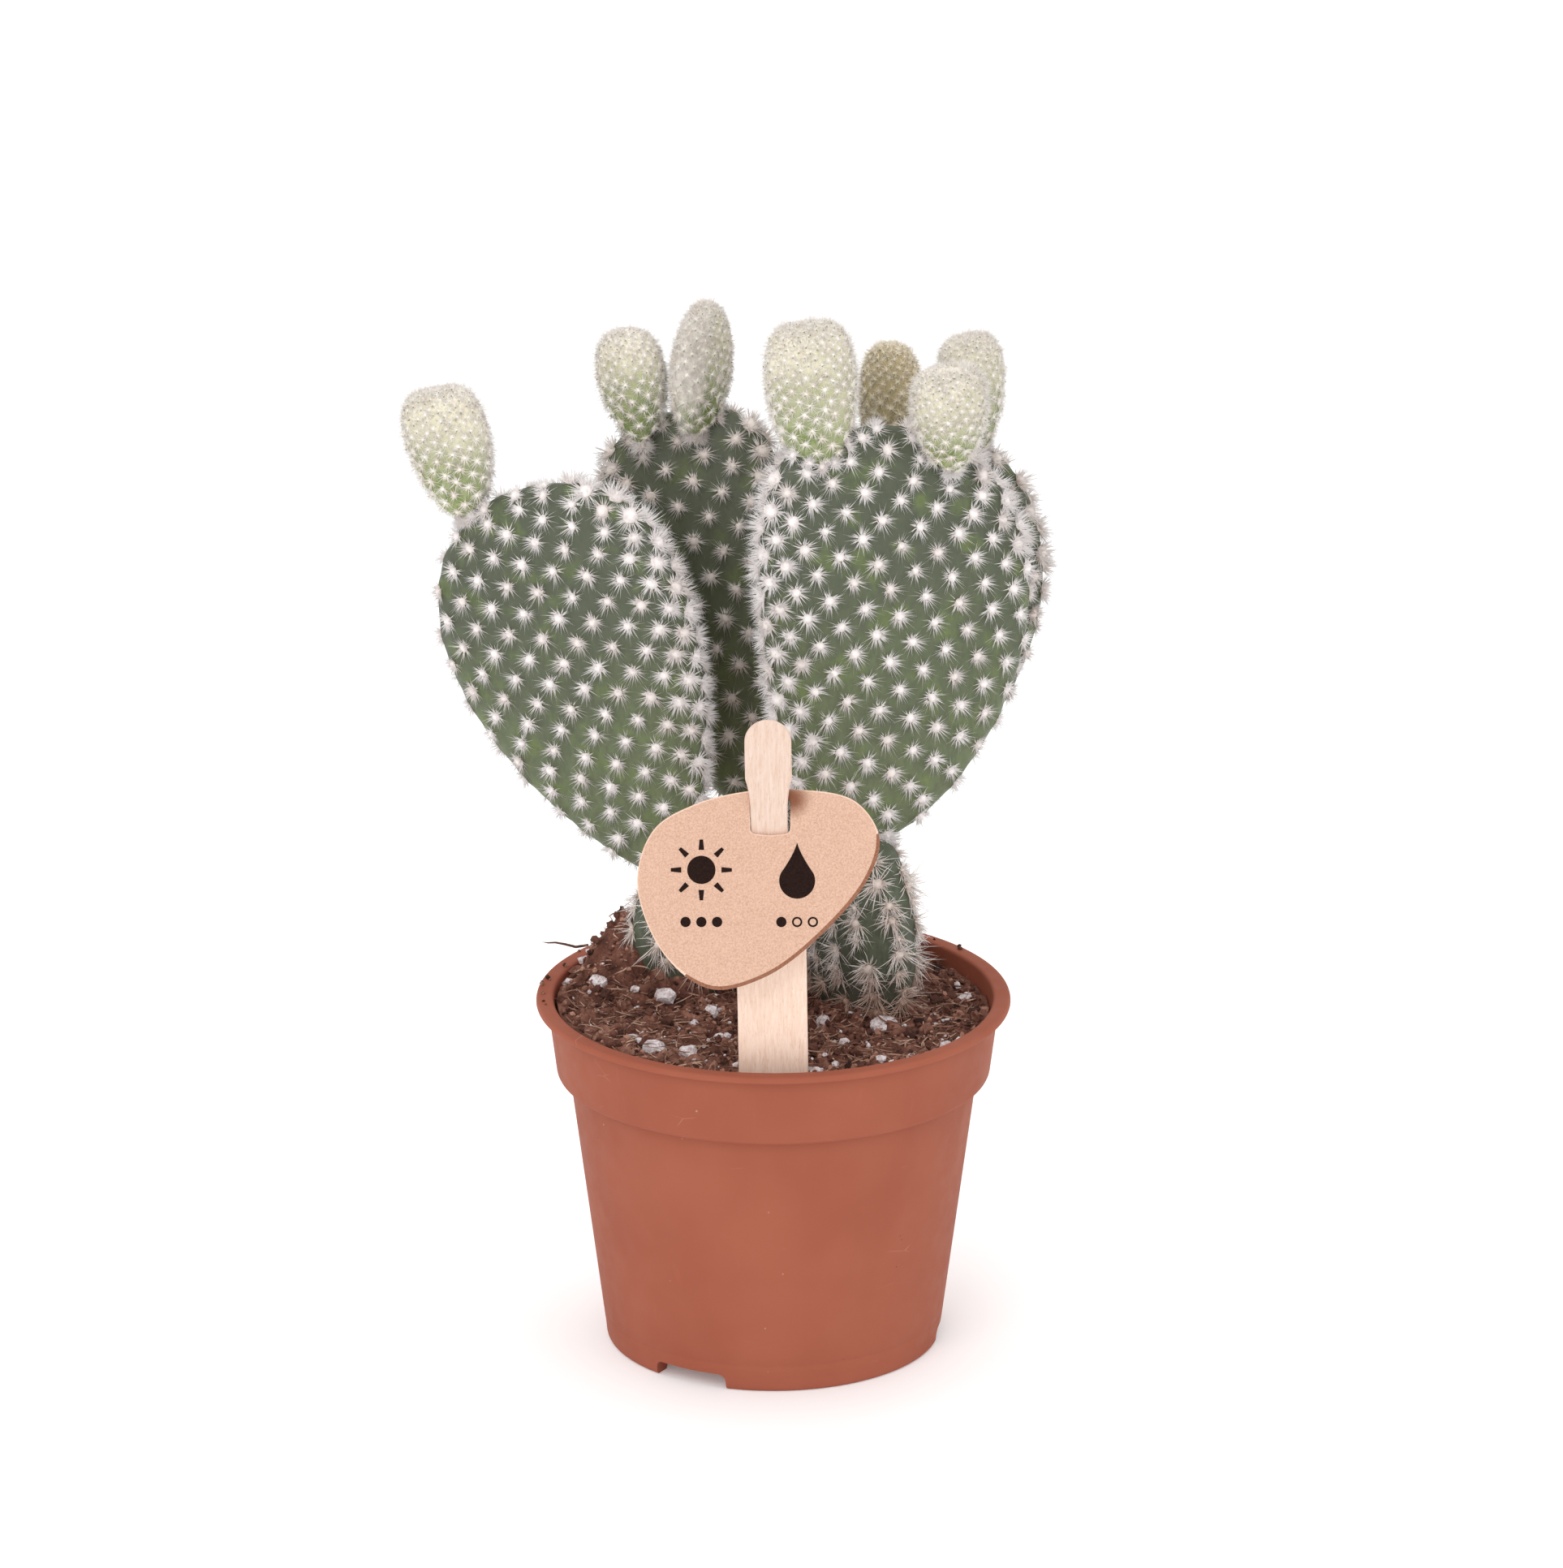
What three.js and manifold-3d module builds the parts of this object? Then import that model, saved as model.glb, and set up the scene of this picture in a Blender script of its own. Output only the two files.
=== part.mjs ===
// A prickly pear cactus of the bunny-ears kind in a round plastic nursery pot.
// Three rooted stubs stand in the potting soil. Four flat green pads grow on them, and seven
// young pads, the ears, bud from the pads' upper edges. Every pad carries white bristle tufts
// in a spiral lattice. A wooden stake with a card tag is pushed into the soil behind the rim.
// Units are millimetres, +Z is up, and the camera side of the plant is -Y.

import * as THREE from "three";
import { ConvexHull } from "three/addons/math/ConvexHull.js";
import { mergeVertices } from "three/addons/utils/BufferGeometryUtils.js";
import Module from "manifold-3d";

const wasm = await Module();
wasm.setup();

// Clearance between pieces that touch
const GAP = 0.3;

// Pot
const POT_SIDES = 40;
const POT_HEIGHT = 68;
const POT_WALL = 1.1;
const RIM_RADIUS = 44.85;
const BAND_TOP_RADIUS = 42.6;
const BAND_LOW_RADIUS = 41.0;
const BAND_HEIGHT = 14.7;
const WALL_TOP_RADIUS = 38.6;
const FOOT_RADIUS = 31.9;
const FLANGE_THICKNESS = 1.3;
const FLOOR_UNDERSIDE = 3.0;
const FLOOR_TOP = 4.4;
const NOTCH_TURNS = [-30, 90, 210];
const NOTCH_WIDTH = 15;
const NOTCH_DEPTH = 12;
const NOTCH_HEIGHT = 6;
const DRAIN_HOLES = 6;
const DRAIN_SIDES = 12;
const DRAIN_RADIUS = 2.6;
const DRAIN_RING = 21;

// Soil
const SOIL_LEVEL = 64.6;
const SOIL_RINGS = 8;
const SOIL_EDGE_GAP = 0.8;
const LEFT_FILL = { height: 2.2, from: 8, to: 36 };
const MOUND = { x: -25, y: 15, height: 13, spreadX: 11, spreadY: 9.5, fadeStart: 36.5, fadeEnd: 40.5 };
const HOLLOW = { x: 14, y: -20, depth: 1.2, spread: 16 };
const LOOSE_GRAINS = 14;
const GRAIN_REACH = 37;
const SMALLEST_GRAIN = 1.6;

// A grain's radius and its height over the soil, as shares of its size
const GRAIN_RADIUS = 0.55;
const GRAIN_LIFT = 0.12;

// Large grains as [x, y, size]
const LARGE_GRAINS = [
  [-33, 3, 2.9],
  [-38.6, 8.6, 1.9],
  [-15, -7.5, 1.7],
  [8, -31.5, 2.0],
  [-20.5, 0, 3.2],
  [-23, -6, 2.4],
  [-12, -1, 3.0],
  [-22, -24, 3.4],
  [-16, -25, 2.8],
  [-26, -16.5, 2.4],
  [-10, -14, 2.0],
  [9.5, -6, 2.6],
  [20.5, -6, 4.0],
  [32.3, -19.4, 2.4],
  [35, -18.2, 2.1],
  [36.5, 6, 2.4],
  [33, -3.5, 2.2],
];

// Stake and tag
const STAKE = { x: 1.1, y: -32.75, lean: 0.9, forward: 3, thickness: 0.9 };
const STAKE_WIDTH = 12.9;
const STAKE_NECK_WIDTH = 6.8;
const STAKE_HEAD_WIDTH = 8.6;
const STAKE_FOOT = 38;
const STAKE_POINT_WIDTH = 4.5;
const STAKE_POINT_LENGTH = 9;
const NECK_FLARE = 7;
const NECK_CURVE = 3;
const STAKE_SHOULDER = 104;
const STAKE_NECK = 109;
const STAKE_HEAD = 125;
const STAKE_TOP = 136.5;
const TAG = { thickness: 0.95, tilt: 15, height: 117, slotX: -0.55, slotWidth: 7.4, slotHeight: 6.8 };
const SLOT_SAG = 0.5;

// How a pad thins towards its ends, the steps that measure its skin, and the golden share of a turn
const EDGE_SWELL = 0.36;
const SURFACE_STEPS = 160;
const SURFACE_SIDES = 48;
const GOLDEN = 0.3819660113;

// A tuft's slant, its distance from what its pad touches, and the share of a pad's foot without tufts
const TUFT_SLANT = 0.8;
const TUFT_CLEARANCE = 1.5;
const BARE_FOOT = 0.03;
const SOIL_CLEARANCE = 1.8;

// A small seeded generator, so that each run draws the same numbers.
function seeded(seed) {
  let state = seed >>> 0;
  return () => {
    state = (state + 0x6d2b79f5) >>> 0;
    let t = Math.imul(state ^ (state >>> 15), 1 | state);
    t = (t + Math.imul(t ^ (t >>> 7), 61 | t)) ^ t;
    return ((t ^ (t >>> 14)) >>> 0) / 4294967296;
  };
}

const vec = (x, y, z) => new THREE.Vector3(x, y, z);
const radians = THREE.MathUtils.degToRad;

// Solids and geometries
function solidOf(geometry) {
  const bare = geometry.clone();
  bare.deleteAttribute("normal");
  bare.deleteAttribute("uv");
  const joined = mergeVertices(bare, 1e-4);
  return new wasm.Manifold(
    new wasm.Mesh({
      numProp: 3,
      vertProperties: new Float32Array(joined.attributes.position.array),
      triVerts: new Uint32Array(joined.index.array),
    }),
  );
}

function geometryOf(solid) {
  const mesh = solid.getMesh();
  const positions = new Float32Array(mesh.numVert * 3);
  for (let i = 0; i < mesh.numVert; i++) {
    for (let k = 0; k < 3; k++) positions[i * 3 + k] = mesh.vertProperties[i * mesh.numProp + k];
  }
  const geometry = new THREE.BufferGeometry();
  geometry.setAttribute("position", new THREE.BufferAttribute(positions, 3));
  geometry.setIndex(new THREE.BufferAttribute(new Uint32Array(mesh.triVerts), 1));
  geometry.computeVertexNormals();
  return geometry;
}

function facesToSolid(points, faces) {
  const positions = new Float32Array(points.flatMap((p) => [p.x, p.y, p.z]));
  const build = (triangles) =>
    new wasm.Manifold(
      new wasm.Mesh({
        numProp: 3,
        vertProperties: positions,
        triVerts: new Uint32Array(triangles.flat()),
      }),
    );
  const made = build(faces);
  return made.volume() > 0 ? made : build(faces.map(([a, b, c]) => [a, c, b]));
}

// The largest body of a solid, without scraps that a cut leaves.
function largest(solid) {
  return solid.decompose().reduce((best, body) => (body.volume() > best.volume() ? body : best));
}

// A pad is a flattened egg. t runs from its joint (0) to its tip (1).
// lean holds the sideways and backward slope of its axis, turn the yaw of its face in degrees.
// foot and crown say how full its outline is below and above, and bow bends it to one side.
function makePad(spec) {
  const axis = vec(
    Math.tan(radians(spec.lean[0])),
    Math.tan(radians(spec.lean[1])),
    1,
  ).normalize();
  const facing = vec(Math.sin(radians(spec.turn)), -Math.cos(radians(spec.turn)), 0);
  const normal = facing.sub(axis.clone().multiplyScalar(facing.dot(axis))).normalize();
  const side = axis.clone().cross(normal);
  return { ...spec, axis, normal, side, base: vec(...spec.base) };
}

function padProfile(pad, t) {
  const along = Math.min(Math.max(t, 0), 1);
  const widest = pad.foot / (pad.foot + pad.crown);
  const swell = Math.pow(along / widest, pad.foot) * Math.pow((1 - along) / (1 - widest), pad.crown);
  return {
    half: (pad.width / 2) * swell,
    thick: (pad.thickness / 2) * Math.pow(4 * along * (1 - along), EDGE_SWELL),
    shift: pad.bow * 4 * along * (1 - along),
  };
}

function padSpot(pad, across, along, through) {
  return pad.base
    .clone()
    .addScaledVector(pad.side, across)
    .addScaledVector(pad.axis, along)
    .addScaledVector(pad.normal, through);
}

function padPoint(pad, t, angle) {
  const { half, thick, shift } = padProfile(pad, t);
  const power = 2 / pad.square;
  const c = Math.cos(angle);
  const s = Math.sin(angle);
  const across = shift + Math.sign(c) * Math.pow(Math.abs(c), power) * half;
  return padSpot(pad, across, t * pad.length, Math.sign(s) * Math.pow(Math.abs(s), power) * thick);
}

// The nearest way across the axis from a point to the pad's surface.
function ontoPad(pad, point) {
  const from = point.clone().sub(pad.base);
  const along = THREE.MathUtils.clamp(from.dot(pad.axis), 0.01 * pad.length, 0.99 * pad.length);
  const { half, thick, shift } = padProfile(pad, along / pad.length);
  const x = from.dot(pad.side) - shift;
  const z = from.dot(pad.normal);
  const reach = Math.pow(Math.abs(x) / half, pad.square) + Math.pow(Math.abs(z) / thick, pad.square);
  const scale = Math.pow(reach, -1 / pad.square);
  return padSpot(pad, shift + x * scale, along, z * scale);
}

// Is a point inside the pad, or within a margin of it?
function insidePad(pad, point, margin) {
  const from = point.clone().sub(pad.base);
  const along = from.dot(pad.axis);
  if (along < -margin || along > pad.length + margin) return false;
  const { half, thick, shift } = padProfile(pad, along / pad.length);
  const across = Math.abs(from.dot(pad.side) - shift) / (half + margin);
  const through = Math.abs(from.dot(pad.normal)) / (thick + margin);
  return Math.pow(across, pad.square) + Math.pow(through, pad.square) < 1;
}

// Tuft places: a golden-angle spiral of even density over the pad's skin.
function padLattice(pad, count) {
  const sections = [];
  let total = 0;
  let before = null;
  for (let m = 0; m <= SURFACE_STEPS; m++) {
    const t = m / SURFACE_STEPS;
    const lengths = [0];
    for (let i = 1; i <= SURFACE_SIDES; i++) {
      const a = padPoint(pad, t, (2 * Math.PI * (i - 1)) / SURFACE_SIDES);
      const b = padPoint(pad, t, (2 * Math.PI * i) / SURFACE_SIDES);
      lengths.push(lengths[i - 1] + a.distanceTo(b));
    }
    const { half, thick } = padProfile(pad, t);
    const girth = lengths[SURFACE_SIDES];
    if (before) {
      const rise = (half - before.half + thick - before.thick) / 2;
      const slope = Math.hypot(pad.length / SURFACE_STEPS, rise);
      total += (slope * (girth + before.girth)) / 2;
    }
    sections.push({ t, lengths, girth, area: total });
    before = { half, thick, girth };
  }
  const places = [];
  let m = 0;
  for (let k = 0; k < count; k++) {
    const wanted = ((k + 0.5) / count) * total;
    while (sections[m + 1].area < wanted) m++;
    const low = sections[m];
    const high = sections[m + 1];
    const t = low.t + (wanted - low.area) / (high.area - low.area) / SURFACE_STEPS;
    const { lengths, girth } = low.girth > high.girth ? low : high;
    const share = ((k * GOLDEN) % 1) * girth;
    let i = 1;
    while (lengths[i] < share) i++;
    const part = (share - lengths[i - 1]) / (lengths[i] - lengths[i - 1]);
    const angle = (2 * Math.PI * (i - 1 + part)) / SURFACE_SIDES;
    places.push({ t, ...surfaceFrame(pad, t, angle) });
  }
  return places;
}

function surfaceFrame(pad, t, angle) {
  const step = 0.01;
  const point = padPoint(pad, t, angle);
  const low = Math.max(t - step, 0.001);
  const high = Math.min(t + step, 0.999);
  const along = padPoint(pad, high, angle).sub(padPoint(pad, low, angle));
  const around = padPoint(pad, t, angle + 0.05).sub(padPoint(pad, t, angle - 0.05));
  const outward = around.cross(along).normalize();
  const middle = padSpot(pad, padProfile(pad, t).shift, t * pad.length, 0);
  if (outward.dot(point.clone().sub(middle)) < 0) outward.negate();
  return { point, outward };
}

// The three foot points of a tuft on the skin, and its tip.
function tuftPoints(pad, place, random) {
  const helper = Math.abs(place.outward.z) < 0.9 ? vec(0, 0, 1) : vec(1, 0, 0);
  const u = helper.clone().cross(place.outward).normalize();
  const w = place.outward.clone().cross(u);
  const turn = random() * 2 * Math.PI;
  const feet = [0, 1, 2].map((i) => {
    const angle = turn + (i * 2 * Math.PI) / 3;
    const foot = place.point
      .clone()
      .addScaledVector(u, Math.cos(angle) * pad.tuftRadius)
      .addScaledVector(w, Math.sin(angle) * pad.tuftRadius);
    return ontoPad(pad, foot);
  });
  const tip = place.point
    .clone()
    .addScaledVector(place.outward, pad.tuftHeight)
    .addScaledVector(u, (random() - 0.5) * TUFT_SLANT)
    .addScaledVector(w, (random() - 0.5) * TUFT_SLANT);
  return { feet, tip };
}

// Places on a pad's skin: tufts where it is free, bare points where another pad or the soil is.
function furnish(pad, neighbours, covered) {
  const random = seeded(pad.seed);
  const tufts = [];
  const bare = [padSpot(pad, 0, 0, 0), padSpot(pad, 0, pad.length, 0)];
  for (const place of padLattice(pad, pad.tufts)) {
    const outer = place.point.clone().addScaledVector(place.outward, pad.tuftHeight);
    const blocked = neighbours.some((other) =>
      [place.point, outer].some((point) => insidePad(other, point, TUFT_CLEARANCE)),
    );
    if (blocked || place.t < BARE_FOOT || covered(place.point)) bare.push(place.point);
    else tufts.push(tuftPoints(pad, place, random));
  }
  return { tufts, bare };
}

// A pad is convex, so its skin is the hull of the points on it. Each tuft's three feet make one
// triangle of the hull, and the tuft stands on it as a three-sided spike.
function padSolid(pad, withTufts, grow = 0) {
  const { tufts, bare } = pad.furniture;
  const centre = padSpot(pad, pad.bow, pad.length / 2, 0);
  const swollen = (p) => {
    const away = p.clone().sub(centre);
    const flat = vec(
      away.dot(pad.side) / pad.width ** 2,
      away.dot(pad.axis) / pad.length ** 2,
      away.dot(pad.normal) / pad.thickness ** 2,
    ).normalize();
    return p
      .clone()
      .addScaledVector(pad.side, flat.x * grow)
      .addScaledVector(pad.axis, flat.y * grow)
      .addScaledVector(pad.normal, flat.z * grow);
  };
  const points = [...tufts.flatMap((tuft) => tuft.feet), ...bare].map(swollen);
  const numbers = new Map(points.map((p, i) => [p, i]));
  const faces = new ConvexHull().setFromPoints(points).faces.map((face) => {
    const corners = [face.edge, face.edge.next, face.edge.next.next];
    return corners.map((edge) => numbers.get(edge.head().point));
  });
  if (!withTufts) return facesToSolid(points, faces);
  const spiked = faces.flatMap(([a, b, c]) => {
    const tuft = Math.floor(a / 3);
    const whole = tuft < tufts.length && Math.floor(b / 3) === tuft && Math.floor(c / 3) === tuft;
    if (!whole) return [[a, b, c]];
    points.push(tufts[tuft].tip);
    const tip = points.length - 1;
    return [
      [a, b, tip],
      [b, c, tip],
      [c, a, tip],
    ];
  });
  return facesToSolid(points, spiked);
}

// Pot: a turned shell with a banded rim, then drainage notches and holes
function potSolid() {
  const bandFoot = POT_HEIGHT - BAND_HEIGHT;
  const lip = POT_HEIGHT - FLANGE_THICKNESS;
  const outline = [
    [0, FLOOR_UNDERSIDE],
    [FOOT_RADIUS - 4.6, FLOOR_UNDERSIDE],
    [FOOT_RADIUS - 3.6, 0],
    [FOOT_RADIUS - 1.2, 0],
    [FOOT_RADIUS - 0.3, 0.7],
    [FOOT_RADIUS, 2.2],
    [WALL_TOP_RADIUS, bandFoot],
    [BAND_LOW_RADIUS - 0.4, bandFoot],
    [BAND_LOW_RADIUS, bandFoot + 0.5],
    [BAND_TOP_RADIUS, lip],
    [RIM_RADIUS - 0.3, lip],
    [RIM_RADIUS, lip + 0.5],
    [RIM_RADIUS - 0.4, POT_HEIGHT],
    [BAND_TOP_RADIUS - POT_WALL, POT_HEIGHT],
    [BAND_LOW_RADIUS - POT_WALL, bandFoot + 1.2],
    [WALL_TOP_RADIUS - POT_WALL, bandFoot - 0.6],
    [FOOT_RADIUS - 0.6, FLOOR_TOP + 0.6],
    [FOOT_RADIUS - 1.4, FLOOR_TOP],
    [0, FLOOR_TOP],
  ];
  const points = outline.map(([r, z]) => new THREE.Vector2(r, z));
  const turned = new THREE.LatheGeometry(points, POT_SIDES).rotateX(Math.PI / 2);
  let pot = solidOf(turned);
  for (const turn of NOTCH_TURNS) {
    const notch = new THREE.BoxGeometry(NOTCH_WIDTH, NOTCH_DEPTH, NOTCH_HEIGHT)
      .translate(0, -FOOT_RADIUS, FLOOR_UNDERSIDE - NOTCH_HEIGHT / 2)
      .rotateZ(radians(turn));
    pot = pot.subtract(solidOf(notch));
  }
  const drill = 4 * (FLOOR_TOP - FLOOR_UNDERSIDE);
  for (let i = 0; i < DRAIN_HOLES; i++) {
    const hole = new THREE.CylinderGeometry(DRAIN_RADIUS, DRAIN_RADIUS, drill, DRAIN_SIDES)
      .rotateX(Math.PI / 2)
      .translate(0, -DRAIN_RING, FLOOR_TOP)
      .rotateZ(radians(NOTCH_TURNS[0] + (360 / DRAIN_HOLES) * i));
    pot = pot.subtract(solidOf(hole));
  }
  return pot;
}

// Soil: level near the wall, with a clump of root ball piled up at the back left
function soilHeight(x, y) {
  const r = Math.hypot(x, y);
  const fade = 1 - THREE.MathUtils.smoothstep(r, MOUND.fadeStart, MOUND.fadeEnd);
  const toMound = Math.hypot((x - MOUND.x) / MOUND.spreadX, (y - MOUND.y) / MOUND.spreadY);
  const toHollow = Math.hypot(x - HOLLOW.x, y - HOLLOW.y) / HOLLOW.spread;
  const mound = MOUND.height * Math.exp(-toMound * toMound) * fade;
  const hollow = HOLLOW.depth * Math.exp(-toHollow * toHollow);
  const leftFill = LEFT_FILL.height * THREE.MathUtils.smoothstep(-x, LEFT_FILL.from, LEFT_FILL.to);
  const crumbs =
    0.7 * Math.sin(0.55 * x + 1.3) * Math.cos(0.62 * y - 0.4) +
    0.45 * Math.sin(1.15 * x - 0.9 * y) +
    0.3 * Math.cos(1.7 * y + 0.8 * x + 2.0);
  return SOIL_LEVEL + mound - hollow + leftFill + crumbs * Math.min(1, (42 - r) / 8 + 0.3);
}

function soilSolid() {
  const low = FLOOR_TOP + GAP;
  const bandFoot = POT_HEIGHT - BAND_HEIGHT;
  const topRadius = BAND_TOP_RADIUS - POT_WALL - SOIL_EDGE_GAP;
  const floorRadius = FOOT_RADIUS - POT_WALL - GAP;
  const rings = [
    [floorRadius - 0.8, low],
    [floorRadius, low + 1],
    [WALL_TOP_RADIUS - POT_WALL - GAP, bandFoot - 2 * GAP],
    [BAND_LOW_RADIUS - POT_WALL - GAP, bandFoot + POT_WALL + 2 * GAP],
  ];
  const points = [vec(0, 0, low)];
  const angleOf = (i) => (2 * Math.PI * i) / POT_SIDES + Math.PI / 2;
  const ring = (r, height) => {
    for (let i = 0; i < POT_SIDES; i++) {
      const x = r * Math.sin(angleOf(i));
      const y = -r * Math.cos(angleOf(i));
      points.push(vec(x, y, height(x, y)));
    }
  };
  rings.forEach(([r, z]) => ring(r, () => z));
  for (let k = 0; k < SOIL_RINGS; k++) {
    ring(topRadius * (1 - k / SOIL_RINGS), soilHeight);
  }
  points.push(vec(0, 0, soilHeight(0, 0)));
  const count = rings.length + SOIL_RINGS;
  const at = (j, i) => 1 + j * POT_SIDES + (i % POT_SIDES);
  const faces = [];
  for (let i = 0; i < POT_SIDES; i++) {
    faces.push([0, at(0, i), at(0, i + 1)]);
    faces.push([points.length - 1, at(count - 1, i + 1), at(count - 1, i)]);
    for (let j = 0; j < count - 1; j++) {
      faces.push([at(j, i), at(j + 1, i + 1), at(j, i + 1)]);
      faces.push([at(j, i), at(j + 1, i), at(j + 1, i + 1)]);
    }
  }
  return facesToSolid(points, faces);
}

// White grains of perlite, half sunk in the soil: the large ones, then smaller ones at random
function grainSolids(isFree) {
  const random = seeded(5);
  const grains = [...LARGE_GRAINS];
  while (grains.length < LARGE_GRAINS.length + LOOSE_GRAINS) {
    const angle = random() * 2 * Math.PI;
    const r = GRAIN_REACH * Math.sqrt(random());
    const spot = [r * Math.cos(angle), r * Math.sin(angle), SMALLEST_GRAIN + random()];
    if (isFree(...spot)) grains.push(spot);
  }
  return grains.map(([x, y, size]) => {
    const grain = new THREE.IcosahedronGeometry(GRAIN_RADIUS * size, 0)
      .scale(1, 0.7 + 0.2 * random(), 0.75)
      .rotateX(0.6 * (random() - 0.5))
      .rotateZ(Math.PI * random());
    return solidOf(grain.translate(x, y, soilHeight(x, y) + GRAIN_LIFT * size));
  });
}

// Stake: a flat wooden stick with a narrow neck and a round head
function stakeSolid(grow = 0) {
  const half = STAKE_WIDTH / 2 + grow;
  const neck = STAKE_NECK_WIDTH / 2 + grow;
  const head = STAKE_HEAD_WIDTH / 2 + grow;
  const shape = new THREE.Shape();
  const point = STAKE_POINT_WIDTH / 2 + grow;
  shape.moveTo(-point, STAKE_FOOT - grow);
  shape.lineTo(point, STAKE_FOOT - grow);
  shape.lineTo(half, STAKE_FOOT + STAKE_POINT_LENGTH);
  shape.lineTo(half, STAKE_SHOULDER);
  shape.quadraticCurveTo(half, STAKE_SHOULDER + NECK_CURVE, neck, STAKE_NECK);
  shape.lineTo(neck, STAKE_HEAD - NECK_FLARE);
  shape.quadraticCurveTo(neck, STAKE_HEAD - NECK_CURVE, head, STAKE_HEAD);
  shape.lineTo(head, STAKE_TOP - head);
  shape.absarc(0, STAKE_TOP - head, head, 0, Math.PI, false);
  shape.lineTo(-head, STAKE_HEAD);
  shape.quadraticCurveTo(-neck, STAKE_HEAD - NECK_CURVE, -neck, STAKE_HEAD - NECK_FLARE);
  shape.lineTo(-neck, STAKE_NECK);
  shape.quadraticCurveTo(-half, STAKE_SHOULDER + NECK_CURVE, -half, STAKE_SHOULDER);
  shape.lineTo(-half, STAKE_FOOT + STAKE_POINT_LENGTH);
  shape.closePath();
  const depth = STAKE.thickness + 2 * grow;
  const geometry = new THREE.ExtrudeGeometry(shape, { depth, bevelEnabled: false, curveSegments: 8 });
  return geometry
    .translate(0, 0, -depth / 2)
    .rotateX(Math.PI / 2 + radians(STAKE.forward))
    .rotateY(radians(-STAKE.lean))
    .translate(STAKE.x, STAKE.y, 0);
}

// Tag: a pebble-shaped card. Its origin is the middle of the slot that the stake's neck runs through.
function tagGeometry() {
  const outline = [
    [3.8, 5.2],
    [14.9, 3.1],
    [19.5, -3.5],
    [17.7, -10.8],
    [9.8, -20.7],
    [-1.3, -29.3],
    [-11.6, -31.6],
    [-20.2, -25.0],
    [-25.0, -12.0],
    [-21.9, -2.2],
    [-14.2, 2.5],
    [-5.0, 4.8],
  ];
  const loop = new THREE.CatmullRomCurve3(
    outline.map(([x, y]) => vec(x, y, 0)),
    true,
    "centripetal",
  );
  const rim = loop.getPoints(36).slice(1);
  const shape = new THREE.Shape(rim.map((p) => new THREE.Vector2(p.x, p.y)));
  const left = TAG.slotX - TAG.slotWidth / 2;
  const right = TAG.slotX + TAG.slotWidth / 2;
  const rise = TAG.slotHeight / 2;
  const slot = new THREE.Path();
  slot.moveTo(left, rise);
  slot.lineTo(left, SLOT_SAG - rise);
  slot.quadraticCurveTo(TAG.slotX, -SLOT_SAG - rise, right, SLOT_SAG - rise);
  slot.lineTo(right, rise);
  slot.closePath();
  shape.holes.push(slot);
  const depth = TAG.thickness;
  return new THREE.ExtrudeGeometry(shape, { depth, bevelEnabled: false, curveSegments: 4 })
    .translate(0, 0, -depth / 2)
    .rotateX(radians(90 - TAG.tilt));
}

// The plant
const OLD = { foot: 0.36, crown: 0.36, square: 2.4, tuftRadius: 1.1, tuftHeight: 1.9, tufts: 64 };
const GROWN = { crown: 0.36, square: 2.5, tuftRadius: 1.05, tuftHeight: 1.8 };
const YOUNG = { square: 2.2, tuftRadius: 0.75, tuftHeight: 1.0, tufts: 76 };

const stubs = {
  stub_left: { base: [-15.4, 13.4, 54], lean: [-2, -2], turn: 14, length: 35.5, width: 22, thickness: 12.5 },
  stub_right: { base: [16.4, 7.4, 54], lean: [1, -2], turn: -50, length: 44, width: 24, thickness: 13.5 },
  stub_back: { base: [5, 28.5, 54], lean: [0, 0], turn: -4, length: 43, width: 30, thickness: 13 },
};

const pads = {
  pad_left: {
    base: [-18.6, 12, 86.4],
    lean: [-18.8, 1.5],
    turn: -25,
    length: 82,
    width: 53,
    thickness: 10.5,
    foot: 0.8,
    crown: 0.42,
    bow: -3.8,
    tufts: 205,
    on: "stub_left",
  },
  pad_right: {
    base: [16.4, 6, 95.4],
    lean: [0.3, 1.5],
    turn: 20,
    length: 82.2,
    width: 53.4,
    thickness: 11,
    foot: 0.54,
    bow: 6.8,
    tufts: 210,
    on: "stub_right",
  },
  pad_back_left: {
    base: [-3.6, 29.5, 92.5],
    lean: [-9.8, 5],
    turn: -8,
    length: 81,
    width: 37.5,
    thickness: 9.5,
    foot: 0.73,
    crown: 0.33,
    bow: -1,
    tufts: 160,
    on: "stub_back",
  },
  pad_back_right: {
    base: [14, 27, 91.6],
    lean: [14.6, 3],
    turn: 15,
    length: 80,
    width: 38,
    thickness: 9,
    foot: 0.6,
    crown: 0.4,
    bow: 7.2,
    tufts: 150,
    on: "stub_back",
  },
};

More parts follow.
